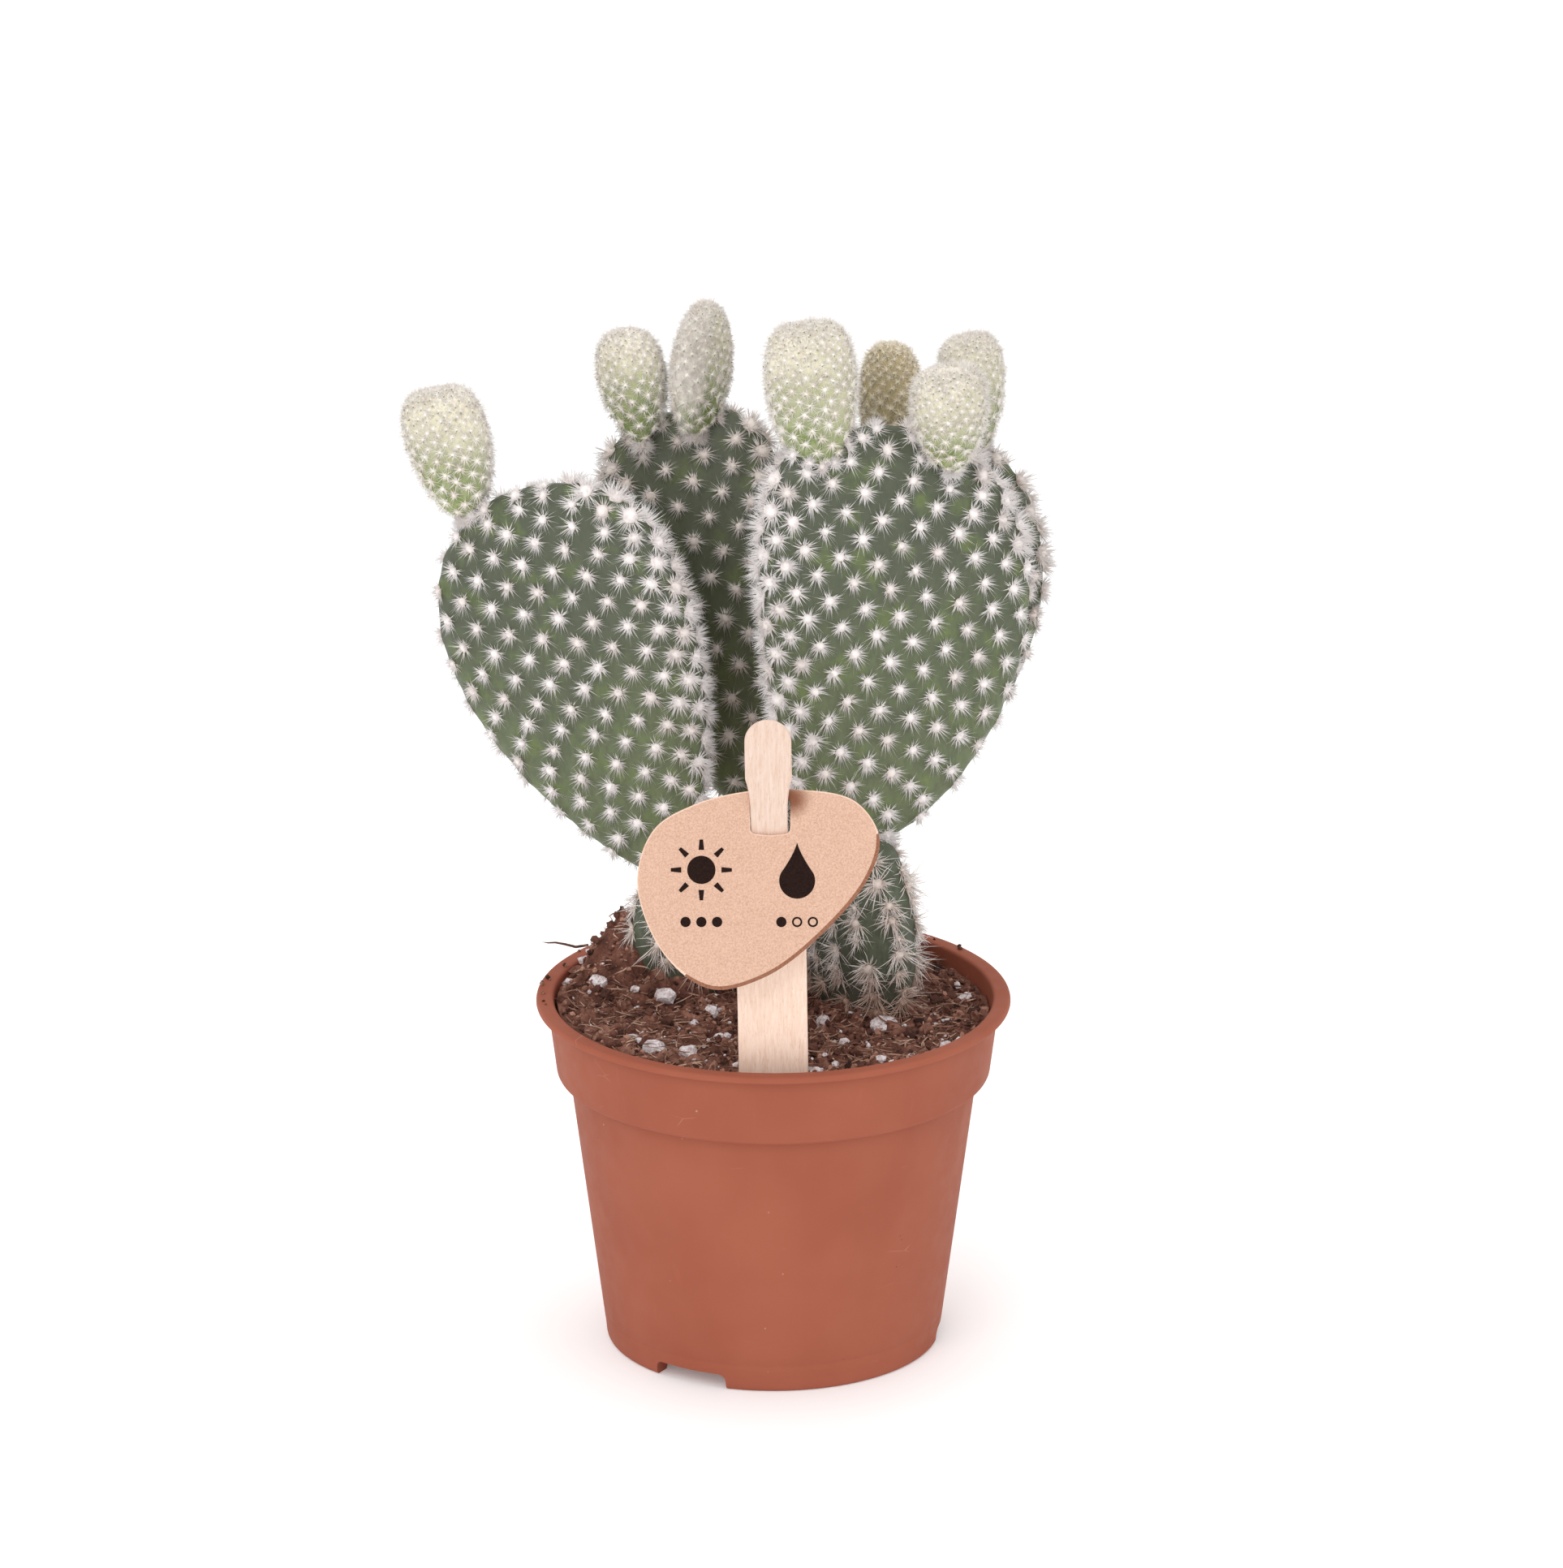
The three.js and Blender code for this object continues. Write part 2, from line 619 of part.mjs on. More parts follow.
// The ears bud from the pads' upper edges, and some stand forward of them.
const ears = {
  ear_1: {
    base: [-57.4, 20.3, 155.6],
    lean: [-12.9, 0],
    turn: -12,
    length: 26.6,
    width: 16.4,
    thickness: 9,
    foot: 0.5,
    crown: 0.27,
    on: "pad_left",
  },
  ear_2: {
    base: [-24.5, 33.5, 166],
    lean: [-9.2, 4],
    turn: -18,
    length: 23,
    width: 13.6,
    thickness: 8.6,
    foot: 0.62,
    crown: 0.38,
    on: "pad_back_left",
  },
  ear_3: {
    base: [-14.6, 33, 168],
    lean: [4.6, -2],
    turn: 50,
    length: 26.9,
    width: 14.2,
    thickness: 8.8,
    foot: 0.46,
    crown: 0.5,
    on: "pad_back_left",
  },
  ear_4: {
    base: [8.5, 5, 168.5],
    lean: [-4.6, 0],
    turn: 6,
    length: 30.6,
    width: 17.3,
    thickness: 9.5,
    foot: 0.5,
    crown: 0.27,
    on: "pad_right",
  },
  ear_5: {
    base: [22.4, 28.6, 159.5],
    lean: [-1, 3],
    turn: -20,
    length: 28,
    width: 12.4,
    thickness: 9,
    foot: 0.6,
    crown: 0.4,
    on: "pad_back_right",
  },
  ear_6: {
    base: [33.1, 10.5, 168.5],
    lean: [-1.6, -24],
    turn: 4,
    length: 25,
    width: 14.4,
    thickness: 9.5,
    foot: 0.54,
    crown: 0.27,
    on: "pad_right",
  },
  ear_7: {
    base: [37.8, 31, 164.5],
    lean: [-2.6, 4],
    turn: 36,
    length: 24,
    width: 14.6,
    thickness: 8.6,
    foot: 0.62,
    crown: 0.31,
    on: "pad_back_right",
  },
};

const plant = {};
const kinds = [
  [stubs, OLD],
  [pads, GROWN],
  [ears, YOUNG],
];
for (const [group, kind] of kinds) {
  for (const [name, spec] of Object.entries(group)) {
    const seed = 11 + 7 * Object.keys(plant).length;
    plant[name] = makePad({ bow: 0, ...kind, ...spec, seed });
  }
}
const inSoil = (point) => point.z < soilHeight(point.x, point.y) + SOIL_CLEARANCE;
const childrenOf = (name) => Object.values(plant).filter((other) => other.on === name);
for (const [name, pad] of Object.entries(plant)) {
  const parents = pad.on ? [plant[pad.on]] : [];
  pad.furniture = furnish(pad, [...parents, ...childrenOf(name)], inSoil);
}

const stubPads = Object.keys(stubs).map((name) => plant[name]);
const grainFits = (x, y, size) => {
  const spot = vec(x, y, soilHeight(x, y));
  const nearStake = Math.abs(x) < STAKE_WIDTH / 2 + SMALLEST_GRAIN && y < -30;
  return !nearStake && !stubPads.some((stub) => insidePad(stub, spot, size));
};
const soil = stubPads.reduce(
  (made, stub) => made.subtract(padSolid(stub, false, GAP)),
  wasm.Manifold.union([soilSolid(), ...grainSolids(grainFits)]).subtract(solidOf(stakeSolid(GAP))),
);

const green = { roughness: 0.62, metalness: 0 };
const paints = {
  pot: { color: 0xb0624a, roughness: 0.45, metalness: 0 },
  soil: { color: 0x4a3024, roughness: 0.95, metalness: 0 },
  stake: { color: 0xe2bf98, roughness: 0.7, metalness: 0 },
  tag: { color: 0xd0a27c, roughness: 0.85, metalness: 0 },
  stub: { color: 0x56644f, ...green },
  pad: { color: 0x4f6148, ...green },
  ear: { color: 0xc9cfa4, ...green },
};

function piece(name, geometry, paint) {
  const mesh = new THREE.Mesh(geometry, new THREE.MeshStandardMaterial(paints[paint]));
  mesh.name = name;
  return mesh;
}

const pottedPlant = new THREE.Group();
pottedPlant.add(piece("pot", geometryOf(potSolid()), "pot"));
pottedPlant.add(piece("soil", geometryOf(largest(soil)), "soil"));
for (const [name, pad] of Object.entries(plant)) {
  let made = padSolid(pad, true);
  if (pad.on) made = largest(made.subtract(padSolid(plant[pad.on], false, GAP)));
  pottedPlant.add(piece(name, geometryOf(made), name.split("_")[0]));
}
pottedPlant.add(piece("stake", stakeSolid(), "stake"));
const tag = piece("tag", tagGeometry(), "tag");
tag.position.set(0, STAKE.y - TAG.height * Math.sin(radians(STAKE.forward)), TAG.height);
pottedPlant.add(tag);

// The part's origin is the middle of its outline on the table, so the pot's axis stands off it.
const bounds = new THREE.Box3().setFromObject(pottedPlant, true);
pottedPlant.position.set(
  -(bounds.min.x + bounds.max.x) / 2,
  -(bounds.min.y + bounds.max.y) / 2,
  -bounds.min.z,
);

const part = new THREE.Group();
part.add(pottedPlant);
export default part;
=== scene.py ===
"""A bunny-ears prickly pear in a nursery pot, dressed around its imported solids.

Lengths are millimetres in the pot's own frame, with the pot's axis at x = y = 0, its foot at z = 0
and the camera side at -Y. They turn into metres in the shared frame where a mesh is made.
"""

import math
from dataclasses import dataclass

import bmesh
import bpy
import numpy as np
from mathutils import Matrix, Vector, noise
from mathutils.geometry import tessellate_polygon


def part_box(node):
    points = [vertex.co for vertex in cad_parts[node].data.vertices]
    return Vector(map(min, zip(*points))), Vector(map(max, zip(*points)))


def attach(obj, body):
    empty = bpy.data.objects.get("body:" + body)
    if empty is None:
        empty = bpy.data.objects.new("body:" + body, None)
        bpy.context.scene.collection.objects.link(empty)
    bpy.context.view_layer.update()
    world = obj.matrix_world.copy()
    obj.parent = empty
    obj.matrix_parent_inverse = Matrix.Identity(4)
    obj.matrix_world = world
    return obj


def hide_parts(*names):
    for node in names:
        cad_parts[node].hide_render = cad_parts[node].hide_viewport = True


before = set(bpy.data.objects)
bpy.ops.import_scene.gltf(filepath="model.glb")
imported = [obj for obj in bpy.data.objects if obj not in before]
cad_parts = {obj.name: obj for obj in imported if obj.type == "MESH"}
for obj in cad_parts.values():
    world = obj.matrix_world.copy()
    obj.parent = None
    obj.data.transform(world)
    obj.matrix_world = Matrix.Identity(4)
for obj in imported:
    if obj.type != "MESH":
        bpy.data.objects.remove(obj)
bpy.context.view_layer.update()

MM = 0.001
pot_low, pot_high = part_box("pot")
POT_AXIS = np.array([(pot_low.x + pot_high.x) / 2, (pot_low.y + pot_high.y) / 2, pot_low.z])

# Camera, measured from the ellipses of the pot's rim and foot in the photograph
PHOTO_HEIGHT_PX = 1932
FOCAL_PX = 13060
SENSOR = 36
CAMERA_PITCH = 19.2
CAMERA_SPOT = (1.531, -1875.709, 763.190)

# Pot
POT_SIDES = 144
POT_HEIGHT = 68.0
POT_WALL = 1.1
RIM_RADIUS = 44.85
BAND_TOP_RADIUS = 42.6
BAND_LOW_RADIUS = 41.0
BAND_HEIGHT = 14.7
BAND_FOOT = POT_HEIGHT - BAND_HEIGHT
WALL_TOP_RADIUS = 38.6
FOOT_RADIUS = 31.9
FLANGE_THICKNESS = 1.3
FLOOR_UNDERSIDE = 3.0
FLOOR_TOP = 4.4
PARTING_LINE = 5.4
PARTING_DEPTH = 0.12
PARTING_WIDTH = 0.7
NOTCH_TURNS = (-30, 90, 210)
NOTCH_WIDTH = 15.0
NOTCH_CURVE = 1.4
DRAIN_RADIUS = 2.6
DRAIN_RING = 21.0
DRAIN_SIDES = 32
SHARP_ANGLE = 40

# The pot's inner wall as (radius, height), from its rim down to its floor
INNER_WALL = (
    (BAND_TOP_RADIUS - POT_WALL, POT_HEIGHT),
    (BAND_LOW_RADIUS - POT_WALL, BAND_FOOT + 1.2),
    (WALL_TOP_RADIUS - POT_WALL, BAND_FOOT - 0.6),
    (FOOT_RADIUS - 0.6, FLOOR_TOP + 0.6),
)

# Soil
SOIL_LEVEL = 64.6
SOIL_SIDES = 168
SOIL_ROWS = 66
LEFT_FILL = {"height": 2.2, "start": 8, "end": 36}
MOUND = {"x": -25, "y": 15, "height": 13, "spread_x": 11, "spread_y": 9.5}
MOUND_FADE = (36.5, 40.5)
HOLLOW = {"x": 14, "y": -20, "depth": 1.2, "spread": 16}

# What lies on the soil as (number, reach from the pot's axis, sizes)
CRUMBS = (2700, 40.2, (0.5, 1.6))
LUMPS = (220, 40.2, (1.6, 3.2))
THREADS = (1700, 39.8, (0.3, 1.4))
GRAINS = (46, 39, (0.9, 2.3))
SPECKS = (230, 39.5, (0.3, 0.8))
THREAD_REACH = 40.6

# Large grains of perlite as (x, y, size)
LARGE_GRAINS = (
    (-33, 3, 2.9),
    (-38.6, 8.6, 1.9),
    (-15, -7.5, 1.7),
    (8, -31.5, 2.0),
    (-20.5, 0, 3.2),
    (-23, -6, 2.4),
    (-12, -1, 3.0),
    (-22, -24, 3.4),
    (-16, -25, 2.8),
    (-26, -16.5, 2.4),
    (-10, -14, 2.0),
    (9.5, -6, 2.6),
    (20.5, -6, 4.0),
    (32.3, -19.4, 2.4),
    (35, -18.2, 2.1),
    (36.5, 6, 2.4),
    (33, -3.5, 2.2),
)

# Crumbs on the rim as (from, to) in degrees round the pot and their number, and a root's course
RIM_CRUMBS = ((158, 174, 6), (176, 190, 4), (20, 60, 3), (120, 158, 3))
ROOT_FIBRE = (
    (-35.2, 17.5, 71.4),
    (-37.6, 17.0, 71.2),
    (-39.6, 16.6, 71.9),
    (-41.4, 16.2, 72.4),
    (-42.8, 15.8, 72.5),
    (-44.2, 15.4, 72.9),
)
ROOT_RADII = (0.32, 0.34, 0.3, 0.24, 0.18, 0.1)

# Stake and tag
STAKE = {"x": 1.1, "y": -32.75, "lean": 0.9, "forward": 3, "thickness": 0.9, "bevel": 0.22}
STAKE_WIDTH = 12.9
STAKE_NECK_WIDTH = 6.8
STAKE_HEAD_WIDTH = 8.6
STAKE_FOOT = 38.0
STAKE_SHOULDER = 104.0
STAKE_NECK = 109.0
STAKE_HEAD = 125.0
STAKE_TOP = 136.5
TAG = {"thickness": 0.95, "tilt": 15, "height": 117, "slot_x": -0.55, "slot_width": 7.4, "slot_height": 6.8}
TAG_OUTLINE = (
    (3.8, 5.2),
    (14.9, 3.1),
    (19.5, -3.5),
    (17.7, -10.8),
    (9.8, -20.7),
    (-1.3, -29.3),
    (-11.6, -31.6),
    (-20.2, -25.0),
    (-25.0, -12.0),
    (-21.9, -2.2),
    (-14.2, 2.5),
    (-5.0, 4.8),
)
INK_THICKNESS = 0.05
# The run along the tag's outline whose edges get a wider bevel and a darker brown card; the other edges get a
# paler card, a painted highlight
LOWER_EDGE_RUN = np.array([0.85, 0.53])
# Heights in millimetres over which the stake's upper part turns a little darker: painted shade against the
# stronger light on its head
HEAD_SHADE_HEIGHTS = (88, 118)
# A painted shadow of the stake on the card: its darkest point by the slot's top right in the tag's frame, and
# the distances over which it fades
STAKE_SHADOW_SPOT = (3.5, 3.4, 0.4)
STAKE_SHADOW_REACH = (0.5, 4.4)
SUN_SPOT = (-13.2, -9.6)
DROP_SPOT = (4.4, -10.2)
LEVEL_DOT_Y = -19.2

# Pads: the golden angle as a share of a turn, and how blunt their edge and square their section are
GOLDEN = 0.3819660113
EDGE_SWELL = 0.36
SQUARENESS = {"stub": 2.4, "pad": 2.5, "ear": 2.2}

# Light: the share from all round, then softboxes as (name, place in metres, size in metres, watts)
WORLD_LIGHT = 0.95
SOFTBOXES = (
    ("key", (-0.42, -1.05, 0.82), 0.8, 4.8),
    ("fill", (0.9, -0.7, 0.5), 0.8, 1.2),
    ("top", (0.0, 0.25, 1.2), 0.9, 2.6),
)
FLOOR_SHADE = 0.95
FLOOR_GLOW = 0.13
FLOOR_REACH = 6.0
LIGHTS_AIM = Vector((0, 0, 0.1))

SEEDS = {"soil": 5, "leaf tips": 9, "first pad": 100}


# Numbers and vectors
def unit(vectors):
    return vectors / np.maximum(np.linalg.norm(vectors, axis=-1, keepdims=True), 1e-12)


def smoothstep(value, low, high):
    share = np.clip((value - low) / (high - low), 0, 1)
    return share * share * (3 - 2 * share)


def across_of(directions):
    """Two unit vectors across each direction."""
    helper = np.where(np.abs(directions[..., 2:3]) < 0.9, [[0.0, 0.0, 1.0]], [[1.0, 0.0, 0.0]])
    first = unit(np.cross(helper, directions))
    return first, np.cross(directions, first)


def turned(first, second, angle):
    """Two coordinates turned by the angle of their row."""
    cos, sin = np.cos(angle)[:, None], np.sin(angle)[:, None]
    return first * cos - second * sin, first * sin + second * cos


def noise_at(points, size, seed=0.0):
    """Smooth noise from -1 to 1 with features of about that size in millimetres."""
    return np.array([noise.noise(Vector((p[0] / size + seed, p[1] / size, p[2] / size))) for p in points])


# Meshes
def new_piece(name, points, faces, looks, slot, smooth=True, values=None, look_of_face=None):
    """A mesh object from points in millimetres and a list of arrays of triangles or quads."""
    faces = faces if isinstance(faces, list) else [faces]
    mesh = bpy.data.meshes.new(name)
    mesh.vertices.add(len(points))
    mesh.vertices.foreach_set("co", (np.asarray(points) * MM + POT_AXIS).astype(np.float32).ravel())
    corners = np.concatenate([np.asarray(f, np.int32).ravel() for f in faces])
    sizes = np.concatenate([np.full(len(f), np.asarray(f).shape[1], np.int32) for f in faces])
    mesh.loops.add(len(corners))
    mesh.loops.foreach_set("vertex_index", corners)
    mesh.polygons.add(len(sizes))
    mesh.polygons.foreach_set("loop_start", np.concatenate([[0], np.cumsum(sizes)[:-1]]).astype(np.int32))
    mesh.polygons.foreach_set("use_smooth", np.full(len(sizes), smooth))
    for look in looks:
        mesh.materials.append(look)
    if look_of_face is not None:
        mesh.polygons.foreach_set("material_index", np.asarray(look_of_face, np.int32))
    for key, numbers in (values or {}).items():
        attribute = mesh.attributes.new(key, "FLOAT", "POINT")
        attribute.data.foreach_set("value", np.asarray(numbers, np.float32))
    mesh.update(calc_edges=True)
    mesh.validate()
    piece = bpy.data.objects.new(name, mesh)
    bpy.context.scene.collection.objects.link(piece)
    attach(piece, "root")
    return piece


def grid_faces(rows, columns):
    """Quads of a closed-round grid, with a point below its first row and one above its last."""
    row, column = np.meshgrid(np.arange(rows - 1), np.arange(columns), indexing="ij")
    after = (column + 1) % columns
    here, beside = 1 + row * columns + column, 1 + row * columns + after
    quads = np.stack([here, beside, beside + columns, here + columns], axis=-1).reshape(-1, 4)
    ring = np.arange(columns)
    last = 1 + (rows - 1) * columns
    foot = np.stack([np.zeros(columns, int), 1 + (ring + 1) % columns, 1 + ring], axis=-1)
    head = np.stack([np.full(columns, last + columns), last + ring, last + (ring + 1) % columns], axis=-1)
    return [quads, foot, head]


def closed(first, grid, last):
    """The points that grid_faces joins: a point, rows of points and a point."""
    return np.concatenate([[first], grid.reshape(-1, 3), [last]])


def circles(section, sides):
    """Rows of points round the axis, one for each (radius, height) of a section."""
    radius, height = np.array(section, float).T[..., None]
    angle = np.linspace(0, 2 * math.pi, sides, endpoint=False)
    return np.stack([radius * np.cos(angle), radius * np.sin(angle), height + 0 * angle], axis=-1)


def strands(lines, radii, rng, capped=True):
    """Three-sided tubes along lines (count, stations, 3) that end in a point. capped closes their start.
    Returns points, faces, how far along its tube each point is, and how many points a tube has."""
    count, stations, _ = lines.shape
    u, w = across_of(unit(lines[:, -1] - lines[:, 0]))
    turn = rng.uniform(0, 2 * math.pi, count)
    rings = []
    for corner in range(3):
        angle = (turn + corner * 2 * math.pi / 3)[:, None]
        rings.append(np.cos(angle) * u + np.sin(angle) * w)
    around = np.stack(rings, axis=1)
    tube = lines[:, :-1, None, :] + around[:, None] * radii[:, :-1, None, None]
    points = np.concatenate([tube.reshape(count, -1, 3), lines[:, -1:]], axis=1)
    tip = 3 * (stations - 1)
    faces = [[0, 2, 1]] if capped else []
    for station in range(stations - 2):
        for corner in range(3):
            low = 3 * station + corner
            low_after = 3 * station + (corner + 1) % 3
            faces += [[low, low_after, low_after + 3], [low, low_after + 3, low + 3]]
    for corner in range(3):
        faces.append([tip - 3 + corner, tip - 3 + (corner + 1) % 3, tip])
    faces = np.array(faces)[None] + (np.arange(count) * points.shape[1])[:, None, None]
    along = np.repeat(np.arange(stations) / (stations - 1), [3] * (stations - 1) + [1])
    return points.reshape(-1, 3), faces.reshape(-1, 3), np.tile(along, count), points.shape[1]


def icosphere(subdivisions):
    """Points and triangles of a ball of radius 1."""
    mesh = bpy.data.meshes.new("ball")
    made = bmesh.new()
    bmesh.ops.create_icosphere(made, subdivisions=subdivisions, radius=1)
    made.to_mesh(mesh)
    made.free()
    points = np.array([v.co for v in mesh.vertices])
    faces = np.array([list(p.vertices) for p in mesh.polygons])
    bpy.data.meshes.remove(mesh)
    return points, faces


COARSE_BALL = icosphere(1)
FINE_BALL = icosphere(2)
OCTAHEDRON = (
    np.array([(1, 0, 0), (0, 1, 0), (-1, 0, 0), (0, -1, 0), (0, 0, 1), (0, 0, -1)], float),
    np.array([(k, (k + 1) % 4, 4) for k in range(4)] + [((k + 1) % 4, k, 5) for k in range(4)]),
)


def lumps(centres, sizes, shape, rng, roughness, flatness=(0.6, 1.0)):
    """Irregular lumps: a jittered ball at each centre, squashed and turned at random."""
    ball, ball_faces = shape
    count = len(centres)
    reach = 1 + roughness * rng.uniform(-1, 1, (count, len(ball), 1))
    points = ball[None] * reach
    stretch = np.stack([np.ones(count), rng.uniform(0.6, 1.0, count), rng.uniform(*flatness, count)], axis=-1)
    points = points * stretch[:, None] * (sizes / 2)[:, None, None]
    yaw = rng.uniform(0, 2 * math.pi, count)
    tilt = rng.uniform(-0.5, 0.5, count)
    x, y, z = points[..., 0], points[..., 1], points[..., 2]
    y, z = turned(y, z, tilt)
    x, y = turned(x, y, yaw)
    points = np.stack([x, y, z], axis=-1) + centres[:, None]
    faces = ball_faces[None] + (np.arange(count) * len(ball))[:, None, None]
    return points.reshape(-1, 3), faces.reshape(-1, 3)


def merged(meshes):
    """The points and faces of several meshes as those of one."""
    starts = np.cumsum([0] + [len(points) for points, _ in meshes])
    faces = [part + start for (_, part), start in zip(meshes, starts)]
    return np.concatenate([points for points, _ in meshes]), np.concatenate(faces)


# Materials
def srgb(red, green, blue):
    """A display colour from 0 to 255 as a linear one."""
    made = []
    for channel in (red / 255, green / 255, blue / 255):
        made.append(channel / 12.92 if channel <= 0.04045 else ((channel + 0.055) / 1.055) ** 2.4)
    return (*made, 1.0)


class Look:
    """A material of one Principled shader whose sockets are set, or fed by textures."""

    def __init__(self, name, **sockets):
        self.material = bpy.data.materials.new(name)
        self.material.use_nodes = True
        self.tree = self.material.node_tree
        self.shader = self.tree.nodes["Principled BSDF"]
        for socket, value in sockets.items():
            self.shader.inputs[socket.replace("_", " ")].default_value = value
        self.spot = self.tree.nodes.new("ShaderNodeTexCoord").outputs["Object"]

    def node(self, kind, inputs=None, **settings):
        made = self.tree.nodes.new(kind)
        for key, value in settings.items():
            setattr(made, key, value)
        for key, value in (inputs or {}).items():
            self.feed(made.inputs[key], value)
        return made

    def feed(self, socket, value):
        """Links a socket or sets it. A colour is three display values from 0 to 255."""
        if isinstance(value, bpy.types.NodeSocket):
            self.tree.links.new(value, socket)
        else:
            socket.default_value = srgb(*value) if socket.type == "RGBA" else value

    def stretched(self, x, y, z):
        """The object's coordinates, each times a factor."""
        return self.node("ShaderNodeMapping", {"Vector": self.spot, "Scale": (x, y, z)}).outputs[0]

    def noise(self, size_mm, detail=3.0, rough=0.55, spot=None, warp=0.0):
        inputs = {"Scale": 1 / (size_mm * MM), "Detail": detail, "Roughness": rough, "Distortion": warp}
        inputs["Vector"] = spot or self.spot
        return self.node("ShaderNodeTexNoise", inputs).outputs["Fac"]

    def cells(self, size_mm, feature="F1", output="Distance", spot=None):
        inputs = {"Vector": spot or self.spot, "Scale": 1 / (size_mm * MM)}
        return self.node("ShaderNodeTexVoronoi", inputs, feature=feature).outputs[output]

    def value(self, name):
        return self.node("ShaderNodeAttribute", attribute_name=name).outputs["Fac"]

    def remap(self, value, low, high, to_low=0.0, to_high=1.0):
        inputs = {"Value": value, "From Min": low, "From Max": high, "To Min": to_low, "To Max": to_high}
        return self.node("ShaderNodeMapRange", inputs, interpolation_type="SMOOTHSTEP").outputs[0]

    def patches(self, size_mm, detail, low, high, to_low=0.0, to_high=1.0, **more):
        """Soft patches, where noise lies between two values."""
        return self.remap(self.noise(size_mm, detail, **more), low, high, to_low, to_high)

    def specks(self, size_mm, low, high, share=1.0):
        """Small round specks, a cell apart."""
        return self.remap(self.cells(size_mm), low, high, share, 0)

    def rise(self, low, high, to_low=0.0, to_high=1.0):
        """How high a place is between two heights in millimetres over the pot's foot."""
        height = self.node("ShaderNodeSeparateXYZ", {"Vector": self.spot}).outputs["Z"]
        low, high = (z * MM + float(POT_AXIS[2]) for z in (low, high))
        return self.remap(height, low, high, to_low, to_high)

    def math(self, operation, first, second=0.0):
        return self.node("ShaderNodeMath", {0: first, 1: second}, operation=operation).outputs[0]

    def mix(self, share, first, second, blend="MIX"):
        inputs = {0: share, 6: first, 7: second}
        return self.node("ShaderNodeMix", inputs, data_type="RGBA", blend_type=blend).outputs[2]

    def laid(self, body, colour, *shares):
        """A colour laid over the body's, by the product of its shares."""
        share = shares[0]
        for factor in shares[1:]:
            share = self.math("MULTIPLY", share, factor)
        return self.mix(share, body, colour)

    def ramp(self, value, *stops):
        made = self.node("ShaderNodeValToRGB", {"Fac": value})
        elements = made.color_ramp.elements
        while len(elements) < len(stops):
            elements.new(0.5)
        for element, (place, colour) in zip(elements, stops):
            element.position = place
            element.color = srgb(*colour)
        return made.outputs["Color"]

    def colour(self, value):
        self.feed(self.shader.inputs["Base Color"], value)

    def bump(self, height, depth_mm, strength=1.0):
        inputs = {"Height": height, "Distance": depth_mm * MM, "Strength": strength}
        self.feed(self.shader.inputs["Normal"], self.node("ShaderNodeBump", inputs).outputs[0])

    def roughness(self, value):
        self.feed(self.shader.inputs["Roughness"], value)


def pot_look():
    """Terracotta-coloured polypropylene: nearly plain, with faint scratches and pale and dark specks."""
    look = Look("pot plastic", Roughness=0.5, Specular_IOR_Level=0.12)
    body = look.mix(look.patches(22, 2, 0.3, 0.7), (152, 84, 64), (158, 90, 69))
    streaks = look.patches(1.6, 3, 0.62, 0.8, 0, 0.14, spot=look.stretched(1, 1, 0.12))
    body = look.laid(body, (176, 104, 82), streaks)
    lines = look.cells(26, "DISTANCE_TO_EDGE", spot=look.stretched(1, 1, 2.6))
    scratches = look.remap(lines, 0.0, 0.006, 1, 0)
    body = look.laid(body, (206, 152, 134), scratches, look.patches(9, 2, 0.6, 0.7), 0.35)
    body = look.laid(body, (206, 164, 150), look.specks(5.5, 0.02, 0.05, 0.5), look.patches(14, 1, 0.5, 0.62))
    body = look.laid(body, (84, 46, 36), look.specks(3.2, 0.02, 0.06, 0.75), look.patches(17, 2, 0.52, 0.66))
    look.colour(body)
    look.roughness(look.patches(4, 3, 0.3, 0.7, 0.58, 0.7))
    look.bump(look.noise(0.6, 2), 0.02, 0.4)
    return look.material


def soil_look(name, dark, middle, light):
    """Peat: brown of many shades, by lump and by fine noise."""
    look = Look(name, Roughness=0.9, Specular_IOR_Level=0.25)
    fine = look.noise(0.9, 5, 0.7)
    tone = look.math("ADD", look.math("MULTIPLY", look.value("tone"), 0.55), look.math("MULTIPLY", fine, 0.5))
    look.colour(look.ramp(tone, (0.22, dark), (0.5, middle), (0.85, light)))
    look.bump(look.noise(0.5, 4, 0.7), 0.25, 0.8)
    return look.material


def perlite_look():
    """Expanded volcanic glass: chalky white with grey pores and peat stains."""
    look = Look("perlite", Roughness=0.85, Specular_IOR_Level=0.3)
    body = look.mix(look.patches(1.3, 4, 0.42, 0.72, rough=0.65), (224, 215, 217), (168, 146, 140))
    look.colour(look.laid(body, (120, 100, 96), look.specks(0.55, 0.1, 0.45), 0.5))
    look.bump(look.cells(0.6), 0.25, 0.8)
    return look.material


def skin_look(name, low, high, fresh, shade, turning=0.45, felt=None):
    """Waxy pad skin. low and high colour its foot and top, fresh its brighter patches, and turning is
    the height where the foot's colour begins to turn into the top's. felt colours the skin under dense
    hair."""
    look = Look(name, Roughness=0.5, Specular_IOR_Level=0.45)
    height = look.math("ADD", look.value("height"), look.math("MULTIPLY", look.noise(14, 2), 0.6))
    body = look.mix(look.remap(height, turning, 1.15), low, high)
    body = look.laid(body, fresh, look.patches(6, 3, 0.5, 0.72, 0, 0.6))
    mottle = look.patches(1.3, 4, 0.35, 0.7, rough=0.7, spot=look.stretched(1, 1, 0.5))
    body = look.laid(body, shade, mottle, 0.5)
    if felt:
        body = look.laid(body, felt, look.value("felt"), 0.85)
    look.colour(body)
    look.roughness(look.patches(2.2, 3, 0.3, 0.7, 0.42, 0.6))
    look.bump(look.noise(0.7, 4, 0.6), 0.08, 0.5)
    return look.material


